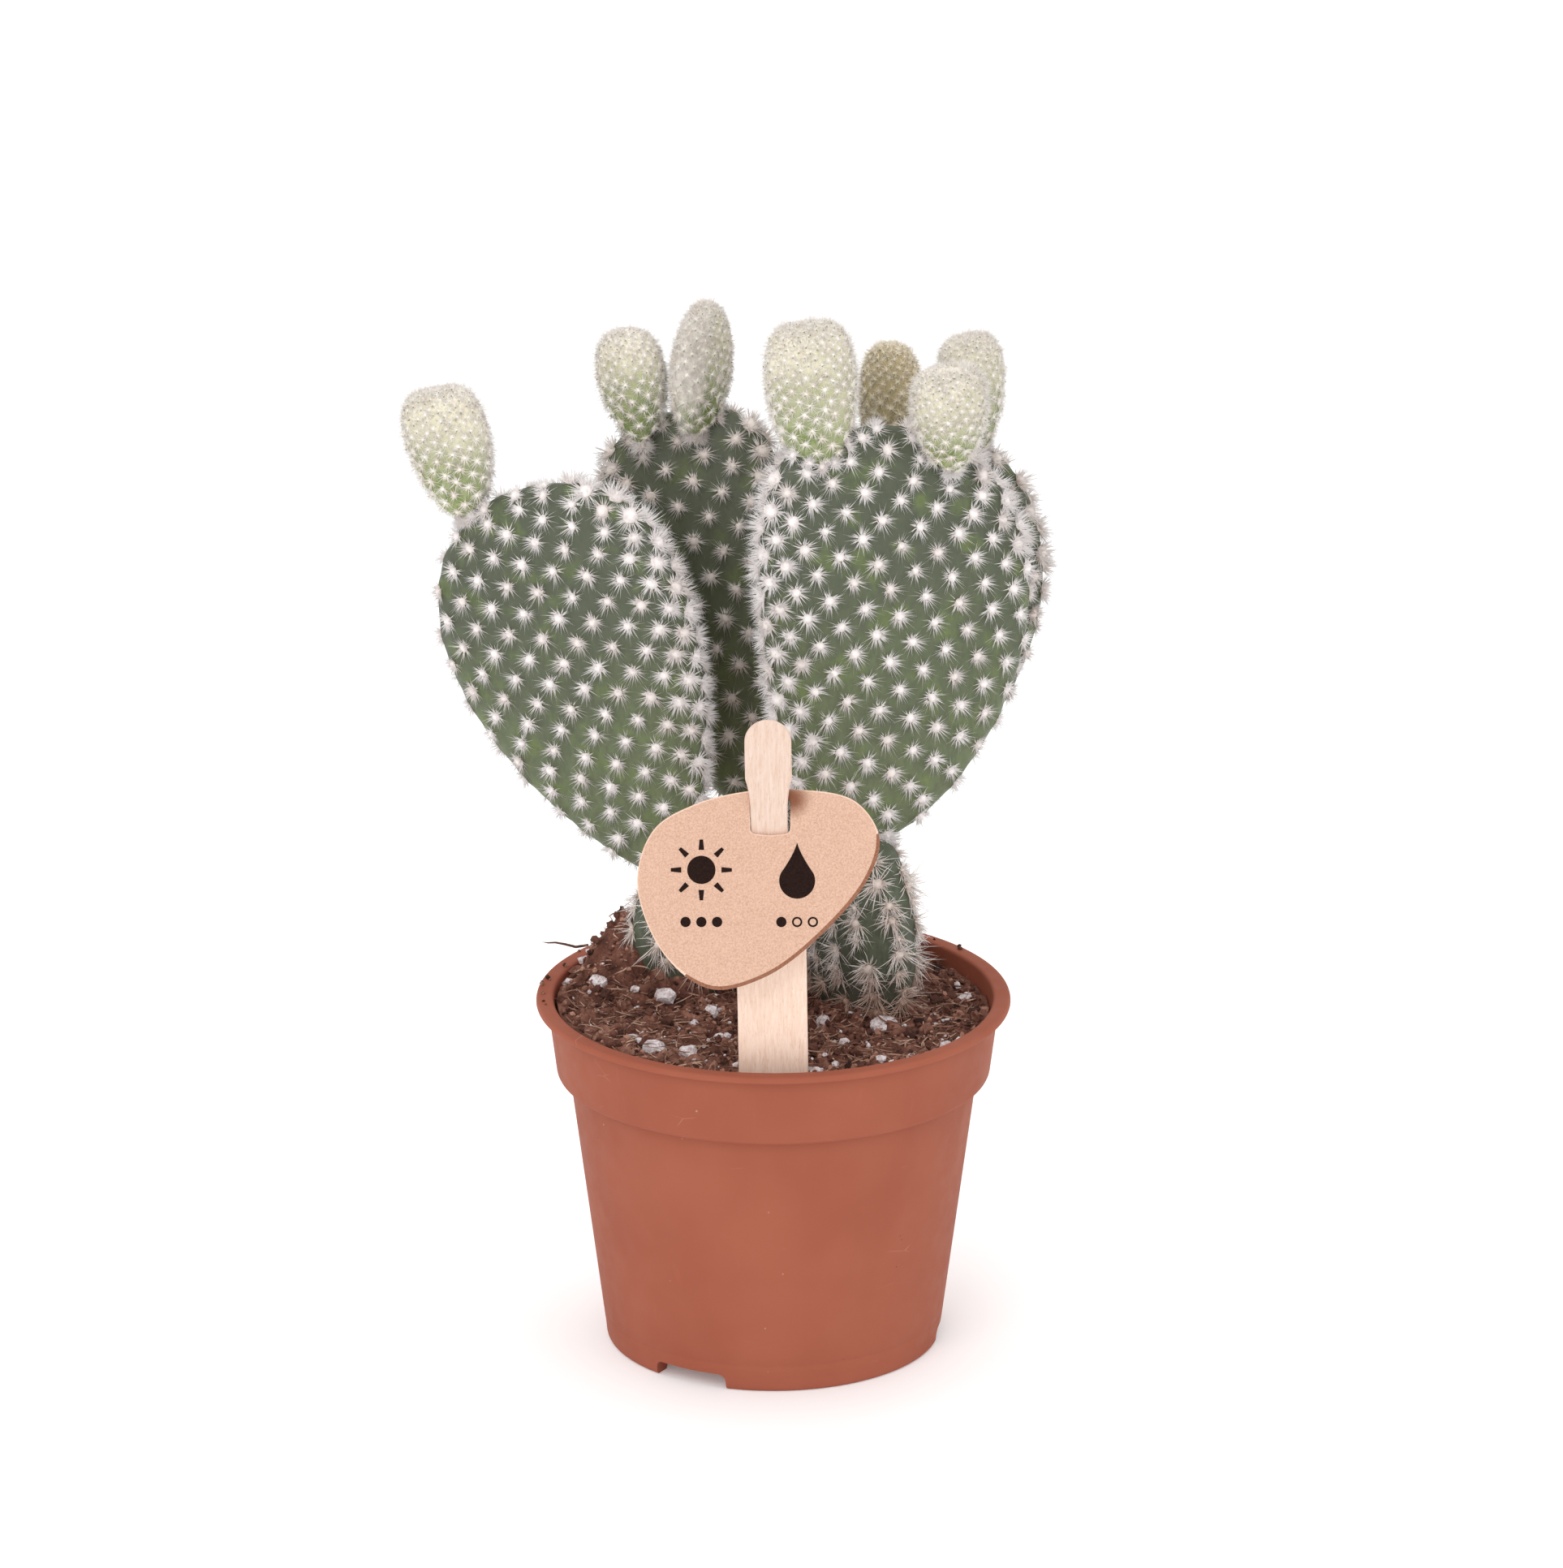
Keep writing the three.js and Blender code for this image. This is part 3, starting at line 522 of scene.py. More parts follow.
def bristle_look(name, root, tip, soiled=None):
    """Bristles: one colour at the root turning into another at the tip, a little apart for each tuft.
    soiled tints them near the soil."""
    look = Look(name, Roughness=0.55, Specular_IOR_Level=0.35)
    body = look.mix(look.remap(look.value("along"), 0.0, 0.75), root, tip)
    if soiled:
        body = look.mix(look.rise(*SOILED_HEIGHTS, 1, 0), body, soiled, "MULTIPLY")
    dull = look.mix(1.0, body, (226, 214, 206), "MULTIPLY")
    look.colour(look.mix(look.remap(look.value("tone"), 0.45, 1.0, 0, 0.3), body, dull))
    return look.material


def wood_look():
    """Pale birch with fine grain along the stake and short darker pores, and painted shade over its upper
    part.
    """
    look = Look("birch", Roughness=0.62, Specular_IOR_Level=0.35)
    grain = look.noise(0.42, 3, 0.6, spot=look.stretched(1, 1, 0.09), warp=0.6)
    body = look.ramp(grain, (0.3, (229, 197, 175)), (0.5, (239, 211, 192)), (0.75, (247, 223, 207)))
    pores = look.patches(0.16, 1, 0.6, 0.76, 0, 0.4, spot=look.stretched(1, 1, 0.14))
    body = look.laid(body, (196, 156, 130), pores)
    flecks = look.patches(0.5, 2, 0.6, 0.75, 0, 0.3, spot=look.stretched(0.4, 1, 1.6))
    body = look.laid(body, (226, 194, 171), flecks)
    # Painted shade: the stake's upper part is darkened a little, where more light falls
    look.colour(look.mix(look.rise(*HEAD_SHADE_HEIGHTS), body, (232, 232, 234), "MULTIPLY"))
    look.bump(grain, 0.06, 0.6)
    return look.material


def card_look(name, light, dark, shadow_point):
    """Kraft card, speckled with paler and darker pulp, and darkened round a point by the slot by a painted
    shadow of the stake.
    """
    look = Look(name, Roughness=0.85, Specular_IOR_Level=0.25)
    body = look.mix(look.patches(0.32, 3, 0.33, 0.67, rough=0.7), dark, light)
    body = look.laid(body, light, look.patches(6, 2, 0.35, 0.7), 0.15)
    body = look.laid(body, (150, 104, 80), look.specks(1.7, 0.03, 0.1, 0.5))
    # Painted shadow of the stake, darkest at its point by the slot and fading with distance
    away = look.node("ShaderNodeVectorMath", {0: look.spot, 1: shadow_point}, operation="DISTANCE")
    near, far = (reach * MM for reach in STAKE_SHADOW_REACH)
    painted_shadow = look.remap(away.outputs["Value"], near, far, 0.95, 0)
    look.colour(look.laid(body, (122, 72, 48), painted_shadow))
    look.bump(look.noise(0.3, 3, 0.6), 0.05, 0.6)
    return look.material


def ink_look():
    look = Look("print ink", Roughness=0.8, Specular_IOR_Level=0.1)
    look.colour(look.mix(look.patches(0.3, 2, 0.35, 0.7), (28, 15, 12), (42, 25, 20)))
    return look.material


# Camera
def make_camera():
    camera = bpy.data.cameras.new("camera")
    camera.sensor_width = SENSOR
    camera.lens = SENSOR * FOCAL_PX / PHOTO_HEIGHT_PX
    camera.clip_start, camera.clip_end = 0.05, 20
    made = bpy.data.objects.new("camera", camera)
    made.location = np.array(CAMERA_SPOT) * MM + POT_AXIS
    made.rotation_euler = (math.radians(90 - CAMERA_PITCH), 0, 0)
    bpy.context.scene.collection.objects.link(made)
    bpy.context.scene.camera = made


# Outlines
def arc(centre, radius, start, end, steps):
    """Points on a circle between two angles in degrees."""
    angle = np.radians(np.linspace(start, end, steps))
    return [(centre[0] + radius * math.cos(a), centre[1] + radius * math.sin(a)) for a in angle]


def bend_through(start, control, end, steps=8):
    """A curve from start to end that bends towards a control point."""
    start, control, end = (np.array(p, float) for p in (start, control, end))
    shares = np.linspace(0, 1, steps)
    return [tuple((1 - s) ** 2 * start + 2 * s * (1 - s) * control + s**2 * end) for s in shares]


def rounded(corners, cut, steps=4):
    """A polyline whose corners are cut back and rounded."""
    corners = [np.array(c, float) for c in corners]
    made = [corners[0]]
    for before, corner, after in zip(corners, corners[1:], corners[2:]):
        start = corner + unit(before - corner) * min(cut, 0.45 * np.linalg.norm(before - corner))
        end = corner + unit(after - corner) * min(cut, 0.45 * np.linalg.norm(after - corner))
        made += bend_through(start, corner, end, steps + 1)
    return np.array([*made, corners[-1]])


def curve_through(points, per=12):
    """A closed smooth curve through points: a centripetal Catmull-Rom spline."""
    points = [np.array(p, float) for p in points]
    made = []
    for i in range(len(points)):
        p = [points[(i + k - 1) % len(points)] for k in range(4)]
        knot = [0.0]
        for a, b in zip(p, p[1:]):
            knot.append(knot[-1] + math.sqrt(np.linalg.norm(b - a)))
        for t in np.linspace(knot[1], knot[2], per, endpoint=False):
            level = p
            for lows, highs in ((knot[:3], knot[1:]), (knot[:2], knot[2:]), (knot[1:2], knot[2:3])):
                spans = zip(lows, highs, level, level[1:])
                level = [((high - t) * a + (t - low) * b) / (high - low) for low, high, a, b in spans]
            made.append(level[0])
    return np.array(made)


# Pot
def pot_profile():
    """Half section of the pot as (radius, height), from the axis below the floor to the axis above it."""
    lip = POT_HEIGHT - FLANGE_THICKNESS

    def wall(height):
        share = (height - 2.2) / (BAND_FOOT - 2.2)
        return FOOT_RADIUS + share * (WALL_TOP_RADIUS - FOOT_RADIUS)

    under = [
        (0, FLOOR_UNDERSIDE),
        (FOOT_RADIUS - 4.6, FLOOR_UNDERSIDE),
        (FOOT_RADIUS - 3.6, 0),
        (FOOT_RADIUS - 2.4, 0),
    ]
    foot = [(FOOT_RADIUS - 2.0, 0), (FOOT_RADIUS - 0.2, 0), (FOOT_RADIUS, 2.4), (wall(4.0), 4.0)]
    groove = []
    for step, depth in ((-PARTING_WIDTH / 2, 0), (0, PARTING_DEPTH), (PARTING_WIDTH / 2, 0)):
        groove.append((wall(PARTING_LINE + step) - depth, PARTING_LINE + step))
    outside = [
        (wall(8.0), 8.0),
        (wall(BAND_FOOT - 0.4), BAND_FOOT - 0.4),
        (BAND_LOW_RADIUS - 0.1, BAND_FOOT),
        (BAND_TOP_RADIUS, lip - 0.2),
        (RIM_RADIUS, lip),
        (RIM_RADIUS - 0.2, POT_HEIGHT),
        *INNER_WALL,
        (FOOT_RADIUS - 1.4, FLOOR_TOP),
        (0, FLOOR_TOP),
    ]
    return np.concatenate([rounded(under, 0.4), rounded(foot, 1.1), groove, rounded(outside, 0.7, 5)])


def cutter(outline, low, high, place):
    """An upright-sided solid to cut with: an outline of (x, y) between two heights, placed by a matrix."""
    count = len(outline)
    points = [place @ Vector((x, y, z)) for z in (low, high) for x, y in outline]
    faces = [list(range(count))[::-1], list(range(count, 2 * count))]
    for i in range(count):
        j = (i + 1) % count
        faces.append([i, j, count + j, count + i])
    mesh = bpy.data.meshes.new("cutter")
    mesh.from_pydata([tuple(np.array(p) * MM + POT_AXIS) for p in points], [], faces)
    made = bpy.data.objects.new("cutter", mesh)
    bpy.context.scene.collection.objects.link(made)
    return made


def pot_cutters():
    """Solids that cut the notches into the foot ring and the drain holes into the floor."""
    half, top = NOTCH_WIDTH / 2, FLOOR_UNDERSIDE - NOTCH_CURVE
    notch = [(-half, -4), (half, -4)]
    notch += arc((half - NOTCH_CURVE, top), NOTCH_CURVE, 0, 90, 6)
    notch += arc((NOTCH_CURVE - half, top), NOTCH_CURVE, 90, 180, 6)
    made = []
    for turn in NOTCH_TURNS:
        upright = Matrix.Rotation(math.radians(turn), 4, "Z") @ Matrix.Rotation(math.radians(90), 4, "X")
        made.append(cutter(notch, FOOT_RADIUS - 6, FOOT_RADIUS + 6, upright))
    for k in range(6):
        turn = math.radians(NOTCH_TURNS[0] + 60 * k)
        middle = (DRAIN_RING * math.sin(turn), -DRAIN_RING * math.cos(turn))
        hole = arc(middle, DRAIN_RADIUS, 0, 360 - 360 / DRAIN_SIDES, DRAIN_SIDES)
        made.append(cutter(hole, FLOOR_UNDERSIDE - 2, FLOOR_TOP + 2, Matrix.Identity(4)))
    return made


def build_pot():
    profile = pot_profile()
    ring = profile[1:-1]
    points = closed((0, 0, profile[0, 1]), circles(ring, POT_SIDES), (0, 0, profile[-1, 1]))
    pot = new_piece("pot_shell", points, grid_faces(len(ring), POT_SIDES), [pot_look()], "pot")
    tools = pot_cutters()
    for tool in tools:
        cut = pot.modifiers.new("cut", "BOOLEAN")
        cut.operation = "DIFFERENCE"
        cut.solver = "EXACT"
        cut.object = tool
    bpy.context.view_layer.update()
    made = bpy.data.meshes.new_from_object(pot.evaluated_get(bpy.context.evaluated_depsgraph_get()))
    pot.modifiers.clear()
    pot.data = made
    for tool in tools:
        bpy.data.objects.remove(tool)
    pot.data.set_sharp_from_angle(angle=math.radians(SHARP_ANGLE))
    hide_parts("pot")


# Pads
@dataclass
class Pad:
    """A flattened egg. t runs from its joint (0) to its tip (1), and the angle goes round its section.
    lean holds the sideways and backward slope of its axis and turn the yaw of its face in degrees.
    foot and crown say how slowly its outline widens and closes, and bow how far it is bowed sideways. on
    names the pad that it grows on. woolly is 1 or -1 where its right or left edge has wool from its joint
    up, and wool_start the t where the wool of its other edge begins."""

    name: str
    base: tuple
    lean: tuple
    turn: float
    length: float
    width: float
    thickness: float
    foot: float = 0.36
    crown: float = 0.36
    bow: float = 0.0
    on: str = None
    woolly: int = 0
    wool_start: float = 0.5

    def __post_init__(self):
        self.origin = np.array(self.base, float)
        slopes = [math.tan(math.radians(a)) for a in self.lean]
        self.axis = unit(np.array([slopes[0], slopes[1], 1.0]))
        yaw = math.radians(self.turn)
        facing = np.array([math.sin(yaw), -math.cos(yaw), 0.0])
        self.normal = unit(facing - facing.dot(self.axis) * self.axis)
        self.side = np.cross(self.axis, self.normal)
        self.group = self.name.split("_")[0]
        self.square = SQUARENESS[self.group]

    def profile(self, t):
        along = np.clip(t, 0, 1)
        widest = self.foot / (self.foot + self.crown)
        swell = (along / widest) ** self.foot * ((1 - along) / (1 - widest)) ** self.crown
        crest = 4 * along * (1 - along)
        return self.width / 2 * swell, self.thickness / 2 * crest**EDGE_SWELL, self.bow * crest

    def spot(self, across, along, through):
        made = self.origin + np.asarray(across)[..., None] * self.side
        made = made + np.asarray(along)[..., None] * self.axis
        return made + np.asarray(through)[..., None] * self.normal

    def point(self, t, angle):
        half, thick, shift = self.profile(t)
        power = 2 / self.square
        c, s = np.cos(angle), np.sin(angle)
        across = shift + np.sign(c) * np.abs(c) ** power * half
        through = np.sign(s) * np.abs(s) ** power * thick
        return self.spot(across, np.broadcast_to(t, across.shape) * self.length, through)

    def outward(self, t, angle):
        low, high = np.maximum(t - 0.01, 0.001), np.minimum(t + 0.01, 0.999)
        along = self.point(high, angle) - self.point(low, angle)
        around = self.point(t, angle + 0.05) - self.point(t, angle - 0.05)
        made = unit(np.cross(around, along))
        middle = self.spot(self.profile(t)[2], t * self.length, 0 * t)
        away = np.sum(made * (self.point(t, angle) - middle), axis=-1, keepdims=True)
        return np.where(away < 0, -made, made)

    def holds(self, points, margin):
        """Which points lie inside the pad or within a margin of it?"""
        away = points - self.origin
        along = away @ self.axis
        half, thick, shift = self.profile(along / self.length)
        across = np.abs(away @ self.side - shift) / (half + margin)
        through = np.abs(away @ self.normal) / (thick + margin)
        inside = across**self.square + through**self.square < 1
        return inside & (along > -margin) & (along < self.length + margin)


def wool(pad, t, angle):
    """How far a place is on the woolly part of a pad's rim, from 0 to 1."""
    start = np.where(np.cos(angle) * pad.woolly > 0, -0.05, pad.wool_start)
    return np.abs(np.cos(angle)) ** 4 * smoothstep(t, start, start + 0.25)


def coat(pad, t, angle):
    """How far a place of a young ear is on its woolly edge, from 0 to 1."""
    return smoothstep(np.cos(angle) * pad.woolly, 0.3, 0.6) * smoothstep(t, 0.12, 0.42)


def fur(pad, t, angle):
    """How thickly long hair grows at a place of a young ear: most on its rim, its tip and its woolly edge."""
    made = np.maximum(np.cos(angle) ** 6, 0.45 * smoothstep(t, 0.85, 1.0))
    return np.maximum(made, COAT * coat(pad, t, angle))


def felt(pad, t, angle):
    """How much of a young ear's skin is whitened by felt, from 0 to 1."""
    made = np.maximum(0.5 * np.cos(angle) ** 8, 0.55 * smoothstep(t, 0.82, 1.0))
    return np.maximum(made, coat(pad, t, angle))


def lattice(pad, spacing, rim_crowding, tip_crowding):
    """Areole places (t, angle): a golden-angle spiral, that many millimetres apart on the pad's face and
    closer together on its woolly rim and near its tip."""
    steps, sides = 160, 96
    t = np.linspace(0, 1, steps + 1)
    angle = np.linspace(0, 2 * math.pi, sides + 1)
    grid = pad.point(t[:, None], angle[None])
    chord = np.linalg.norm(np.diff(grid, axis=1), axis=-1)
    crowd = 1 + rim_crowding * wool(pad, t[:, None], (angle[1:] + angle[:-1])[None] / 2)
    lengths = np.concatenate([np.zeros((steps + 1, 1)), np.cumsum(chord * crowd, axis=1)], axis=1)
    girth = lengths[:, -1]
    half, thick, _ = pad.profile(t)
    slope = np.hypot(pad.length / steps, np.diff(half + thick) / 2)
    middle = (t[1:] + t[:-1]) / 2
    area = slope * (girth[1:] + girth[:-1]) / 2 * (1 + tip_crowding * middle**3)
    area = np.concatenate([[0], np.cumsum(area)])
    index = np.arange(int(area[-1] / spacing**2))
    place = np.interp((index + 0.5) / len(index) * area[-1], area, t)
    low = np.minimum((place * steps).astype(int), steps - 1)
    row = np.where(girth[low] > girth[low + 1], low, low + 1)
    share = (index * GOLDEN) % 1
    turn = np.array([np.interp(s * girth[r], lengths[r], angle) for s, r in zip(share, row)])
    return place, turn


def turn_at(pad, t, share):
    """The angles at those shares (rows, count) of the way round the pad's sections at t (rows)."""
    fine = np.linspace(0, 2 * math.pi, 361)
    sections = pad.point(t[:, None], fine[None])
    steps = np.linalg.norm(np.diff(sections, axis=1), axis=-1)
    lengths = np.concatenate([np.zeros((len(t), 1)), np.cumsum(steps, axis=1)], axis=1)
    return np.array([np.interp(part % 1 * row[-1], row, fine) for part, row in zip(share, lengths)])


def ribs(pad, count, spacing, twist, phase, rng):
    """Areole places (t, angle) in rows that run up an old stem and wind round it."""
    t, share = [], []
    for rib in range(count):
        for step in np.arange(0.5 * (rib % 2), pad.length / spacing):
            t.append((step + rng.uniform(-0.3, 0.3)) * spacing / pad.length)
            share.append((rib + rng.uniform(-0.14, 0.14)) / count + twist * t[-1] + phase)
    t = np.clip(t, 0.002, 0.998)
    return t, turn_at(pad, t, np.array(share)[:, None])[:, 0]


def skin_mesh(pad, grid, tufts, mound, inset):
    """A pad's skin: rings of even steps, raised a little under each tuft. grid is (rings, steps) and mound
    (height, radius). Returns points, faces, and the t and angle of each point."""
    rows, columns = grid
    t = (1 - np.cos(np.linspace(0, math.pi, rows + 2)[1:-1])) / 2
    angle = turn_at(pad, t, np.broadcast_to(np.linspace(0, 1, columns, endpoint=False), grid))
    t_grid = np.repeat(t[:, None], columns, axis=1)
    points = pad.point(t_grid, angle)
    outward = pad.outward(t_grid, angle)
    gap = np.linalg.norm(points[:, :, None] - tufts[None, None], axis=-1).min(axis=-1)
    points = points + outward * (mound[0] * np.exp(-((gap / mound[1]) ** 2)) - inset)[..., None]
    foot, head = pad.spot(np.zeros(2), np.array([inset, pad.length - inset]), np.zeros(2))
    height = np.concatenate([[0], t_grid.ravel(), [1]])
    around = np.concatenate([[0], angle.ravel(), [0]])
    return closed(foot, points, head), grid_faces(rows, columns), height, around


@dataclass
class Hairs:
    """One kind of hair in a tuft. Tilt is the least and most angle in degrees from straight out, and
    droop how much they hang. Widths and lengths are in millimetres, growth is how much longer they are
    in a larger tuft, and rim is 0, or the least share of the rim that a tuft must have to grow them."""

    count: int
    length: tuple
    width: float
    tilt: tuple
    droop: float = 0.0
    stations: int = 2
    growth: float = 1.0
    rim: float = 0.0


@dataclass
class Tuft:
    """A tuft's kinds of hair, the radius that they grow from, and the radius of its felt core."""

    hairs: tuple
    foot: float
    core: float


def hair_lines(pad, points, outward, kind, foot, rng, size):
    """Centre lines and radii of one kind of hair in every tuft."""
    count, per = len(points), kind.count
    centre, out = np.repeat(points, per, axis=0), np.repeat(outward, per, axis=0)
    hang = np.repeat(-unit(pad.axis - outward * (outward @ pad.axis)[:, None]), per, axis=0)
    scale = np.repeat(size, per)
    u, w = across_of(out)
    turn = rng.uniform(0, 2 * math.pi, count * per)
    tilt = np.radians(rng.uniform(*kind.tilt, count * per))
    flat = np.cos(turn)[:, None] * u + np.sin(turn)[:, None] * w
    way = unit(np.cos(tilt)[:, None] * out + np.sin(tilt)[:, None] * flat + kind.droop * hang)
    fan = 0.88 + 0.12 * np.sum(way * hang, axis=-1)
    length = rng.uniform(*kind.length, count * per) * scale**kind.growth * fan
    root = centre + flat * (foot * scale * np.sqrt(rng.uniform(0, 1, count * per)))[:, None] - 0.15 * out
    stations = np.linspace(0, 1, kind.stations)
    line = root[:, None] + way[:, None] * (length[:, None] * stations)[..., None]
    if kind.stations > 2:
        bend = rng.normal(0, 0.2, (count * per, 3)) - [0, 0, 0.3 * kind.droop]
        line = line + bend[:, None] * (length[:, None] * stations**2)[..., None]
    thin = np.linspace(1, 0.55, kind.stations)
    radii = kind.width / 2 * np.repeat(rng.uniform(0.75, 1.2, count), per)[:, None] * thin
    return line, radii


def tufts_mesh(pad, points, outward, tuft, rng, size, rim):
    """All hairs of a pad and the small felt cores that they grow from. Returns points, faces and values."""
    count = len(points)
    shade = rng.uniform(0, 1, count)
    ball, ball_faces = COARSE_BALL if tuft.core > 0.6 else OCTAHEDRON
    u, w = across_of(outward)
    shift = ball[None, :, 0, None] * u[:, None] + ball[None, :, 1, None] * w[:, None]
    shift = shift + 0.6 * ball[None, :, 2, None] * outward[:, None]
    jitter = 1 + 0.2 * rng.uniform(-1, 1, (count, len(ball), 1))
    core = points[:, None] + shift * jitter * (tuft.core * size)[:, None, None]
    core_faces = ball_faces[None] + (np.arange(count) * len(ball))[:, None, None]
    meshes = [(core.reshape(-1, 3), core_faces.reshape(-1, 3))]
    along, tone = [np.full(count * len(ball), 0.3)], [np.repeat(shade, len(ball))]
    for kind in tuft.hairs:
        has = rim >= kind.rim * rng.uniform(0.4, 2.2, count)
        line, radii = hair_lines(pad, points[has], outward[has], kind, tuft.foot, rng, size[has])
        hair_points, hair_faces, hair_along, each = strands(line, radii, rng, False)
        meshes.append((hair_points, hair_faces))
        along.append(hair_along)
        tone.append(np.repeat(shade[has], kind.count * each))
    return *merged(meshes), {"along": np.concatenate(along), "tone": np.concatenate(tone)}


def free_places(pad, t, angle, neighbours, bare_foot, clearance):
    """Which places of a pad are above the soil and away from other pads?"""
    points = pad.point(t, angle)
    free = t > bare_foot
    free &= points[:, 2] > soil_height(points[:, 0], points[:, 1]) + clearance
    for other in neighbours:
        free &= ~other.holds(points, 0.6)
    return free


def collar(pad, parent, count):
    """Places (t, angle) round a pad, just where it leaves the pad that it grows on."""
    t = np.linspace(0.01, 0.4, 60)
    share = (np.arange(count) + 0.5) / count
    angle = turn_at(pad, t, np.broadcast_to(share, (len(t), count)))
    hidden = parent.holds(pad.point(np.repeat(t[:, None], count, axis=1), angle), 0.2)
    row = np.where(hidden.any(axis=0), len(t) - np.argmax(hidden[::-1], axis=0), 0)
    row = np.minimum(row, len(t) - 1)
    return t[row], angle[row, np.arange(count)]


# Soil
def soil_height(x, y):
    r = np.hypot(x, y)
    fade = 1 - smoothstep(r, *MOUND_FADE)
    to_mound = np.hypot((x - MOUND["x"]) / MOUND["spread_x"], (y - MOUND["y"]) / MOUND["spread_y"])
    to_hollow = np.hypot(x - HOLLOW["x"], y - HOLLOW["y"]) / HOLLOW["spread"]
    mound = MOUND["height"] * np.exp(-to_mound * to_mound) * fade
    hollow = HOLLOW["depth"] * np.exp(-to_hollow * to_hollow)
    left_fill = LEFT_FILL["height"] * smoothstep(-x, LEFT_FILL["start"], LEFT_FILL["end"])
    crumbs = 0.7 * np.sin(0.55 * x + 1.3) * np.cos(0.62 * y - 0.4)
    crumbs = crumbs + 0.45 * np.sin(1.15 * x - 0.9 * y) + 0.3 * np.cos(1.7 * y + 0.8 * x + 2.0)
    return SOIL_LEVEL + mound - hollow + left_fill + crumbs * np.minimum(1, (42 - r) / 8 + 0.3)


def inner_radius(z):
    """The radius of the pot's inner wall at a height."""
    radii, heights = zip(*reversed(INNER_WALL))
    return np.interp(z, heights, radii)


def rough_height(x, y):
    """The soil's top with its fine crumb."""
    flat = np.stack([x, y, 0 * x], axis=-1)
    r = np.hypot(x, y)
    calm = np.clip((41.2 - r) / 3, 0.25, 1)
    fine = 1.3 * noise_at(flat, 4.2) + 1.1 * noise_at(flat, 2.1, 7) + 0.5 * noise_at(flat, 1.1, 3)
    return soil_height(x, y) + calm * fine


def build_bed():
    """The soil's crumbly top, its side along the pot's wall and its underside."""
    top_radius = inner_radius(SOIL_LEVEL) - 0.25
    shares = np.linspace(1, 1 / SOIL_ROWS, SOIL_ROWS)
    top = circles([(top_radius * share, 0) for share in shares], SOIL_SIDES)
    x, y = top[..., 0], top[..., 1]
    top[..., 2] = rough_height(x.ravel(), y.ravel()).reshape(x.shape)
    wall = [(FOOT_RADIUS - 2.4, FLOOR_TOP + 0.3), (FOOT_RADIUS - 1.3, FLOOR_TOP + 1.6)]
    wall += [(inner_radius(height) - 0.3, height) for height in np.linspace(10, SOIL_LEVEL - 4, 8)]
    grid = np.concatenate([circles(wall, SOIL_SIDES), top])
    centre = rough_height(np.zeros(1), np.zeros(1))[0]
    points = closed((0, 0, FLOOR_TOP + 0.3), grid, (0, 0, centre))
    relief = np.zeros(len(points))
    relief[1 + len(wall) * SOIL_SIDES : -1] = (top[..., 2] - soil_height(x, y)).ravel()
    # The tone is darker in the crumb's low spots and lighter on its high ones: painted shade in the hollows,
    # over noise in the peat's own colour
    tone = 0.42 + 0.3 * noise_at(points, 2.4, 11) + 0.25 * np.clip(relief, -1, 1)
    look = soil_look("peat", (40, 21, 17), (114, 73, 60), (184, 140, 120))
    faces = grid_faces(len(grid), SOIL_SIDES)
    bed = new_piece("soil_bed", points, faces, [look], "soil", False, {"tone": tone})
    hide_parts("soil")


def scatter(kind, stubs, rng, margin=0.2):
    """Random places (x, y, size) on the soil for one kind of thing, clear of the stubs and of the place in
    front of the stake."""
    count, reach, (least, most) = kind
    spots = []
    while len(spots) < count:
        turn, r, size = rng.uniform(0, 2 * math.pi), reach * math.sqrt(rng.uniform()), rng.uniform() ** 2.2
        size = least + (most - least) * size
        x, y = r * math.cos(turn), r * math.sin(turn)
        here = np.array([[x, y, float(soil_height(x, y))]])
        near_stake = abs(x - STAKE["x"]) < 7.2 and abs(y - STAKE["y"] + 3.4) < 1.4 + size / 2
        if not near_stake and not any(stub.holds(here, margin + size / 3)[0] for stub in stubs):
            spots.append((x, y, size))
    return np.array(spots)


def seat(spots, sunk):
    """Places on the soil's top, raised by a share of their size."""
    x, y, size = spots.T
    return np.stack([x, y, rough_height(x, y) + size * sunk], axis=-1)


def build_crumbs(stubs, rng, look):
    """Peat crumbs and larger lumps."""
    meshes, shades = [], []
    for kind, ball, brightest in ((CRUMBS, COARSE_BALL, 1.0), (LUMPS, FINE_BALL, 0.6)):
        spots = scatter(kind, stubs, rng)
        meshes.append(lumps(seat(spots, 0.1), spots[:, 2], ball, rng, 0.34))
        shades.append(np.repeat(rng.uniform(0, brightest, len(spots)), len(ball[0])))
    new_piece("soil_crumbs", *merged(meshes), [look], "soil", False, {"tone": np.concatenate(shades)})


def build_threads(stubs, rng):
    """Root threads and fibres, curled on the peat."""
    spots = scatter(THREADS, stubs, rng, 0)
    count = len(spots)
    start = seat(spots, 0.4)
    turn = rng.uniform(0, 2 * math.pi, count)
    rise = rng.uniform(-0.1, 0.35, count)
    way = np.stack([np.cos(turn), np.sin(turn), rise], axis=-1)
    curl = np.stack([-np.sin(turn), np.cos(turn), -0.8 * rise], axis=-1)
    curl = curl * rng.uniform(-1.1, 1.1, count)[:, None]
    length = 1.4 + 4.2 * rng.uniform(0, 1, count) ** 1.6
    steps = np.linspace(0, 1, 5)
    line = start[:, None] + way[:, None] * (length[:, None] * steps)[..., None]
    line = line + curl[:, None] * (length[:, None] * steps**2)[..., None]
    keep = np.hypot(line[..., 0], line[..., 1]).max(axis=1) < THREAD_REACH
    radii = np.repeat(rng.uniform(0.06, 0.2, count)[:, None], 5, axis=1) * [0.7, 1, 1, 0.8, 0.3]
    made, faces, _, each = strands(line[keep], radii[keep], rng)
    tone = np.repeat(rng.uniform(0.1, 1, keep.sum()), each)
    look = soil_look("root threads", (62, 36, 29), (136, 96, 80), (216, 178, 156))
    new_piece("soil_threads", made, faces, [look], "soil", True, {"tone": tone})


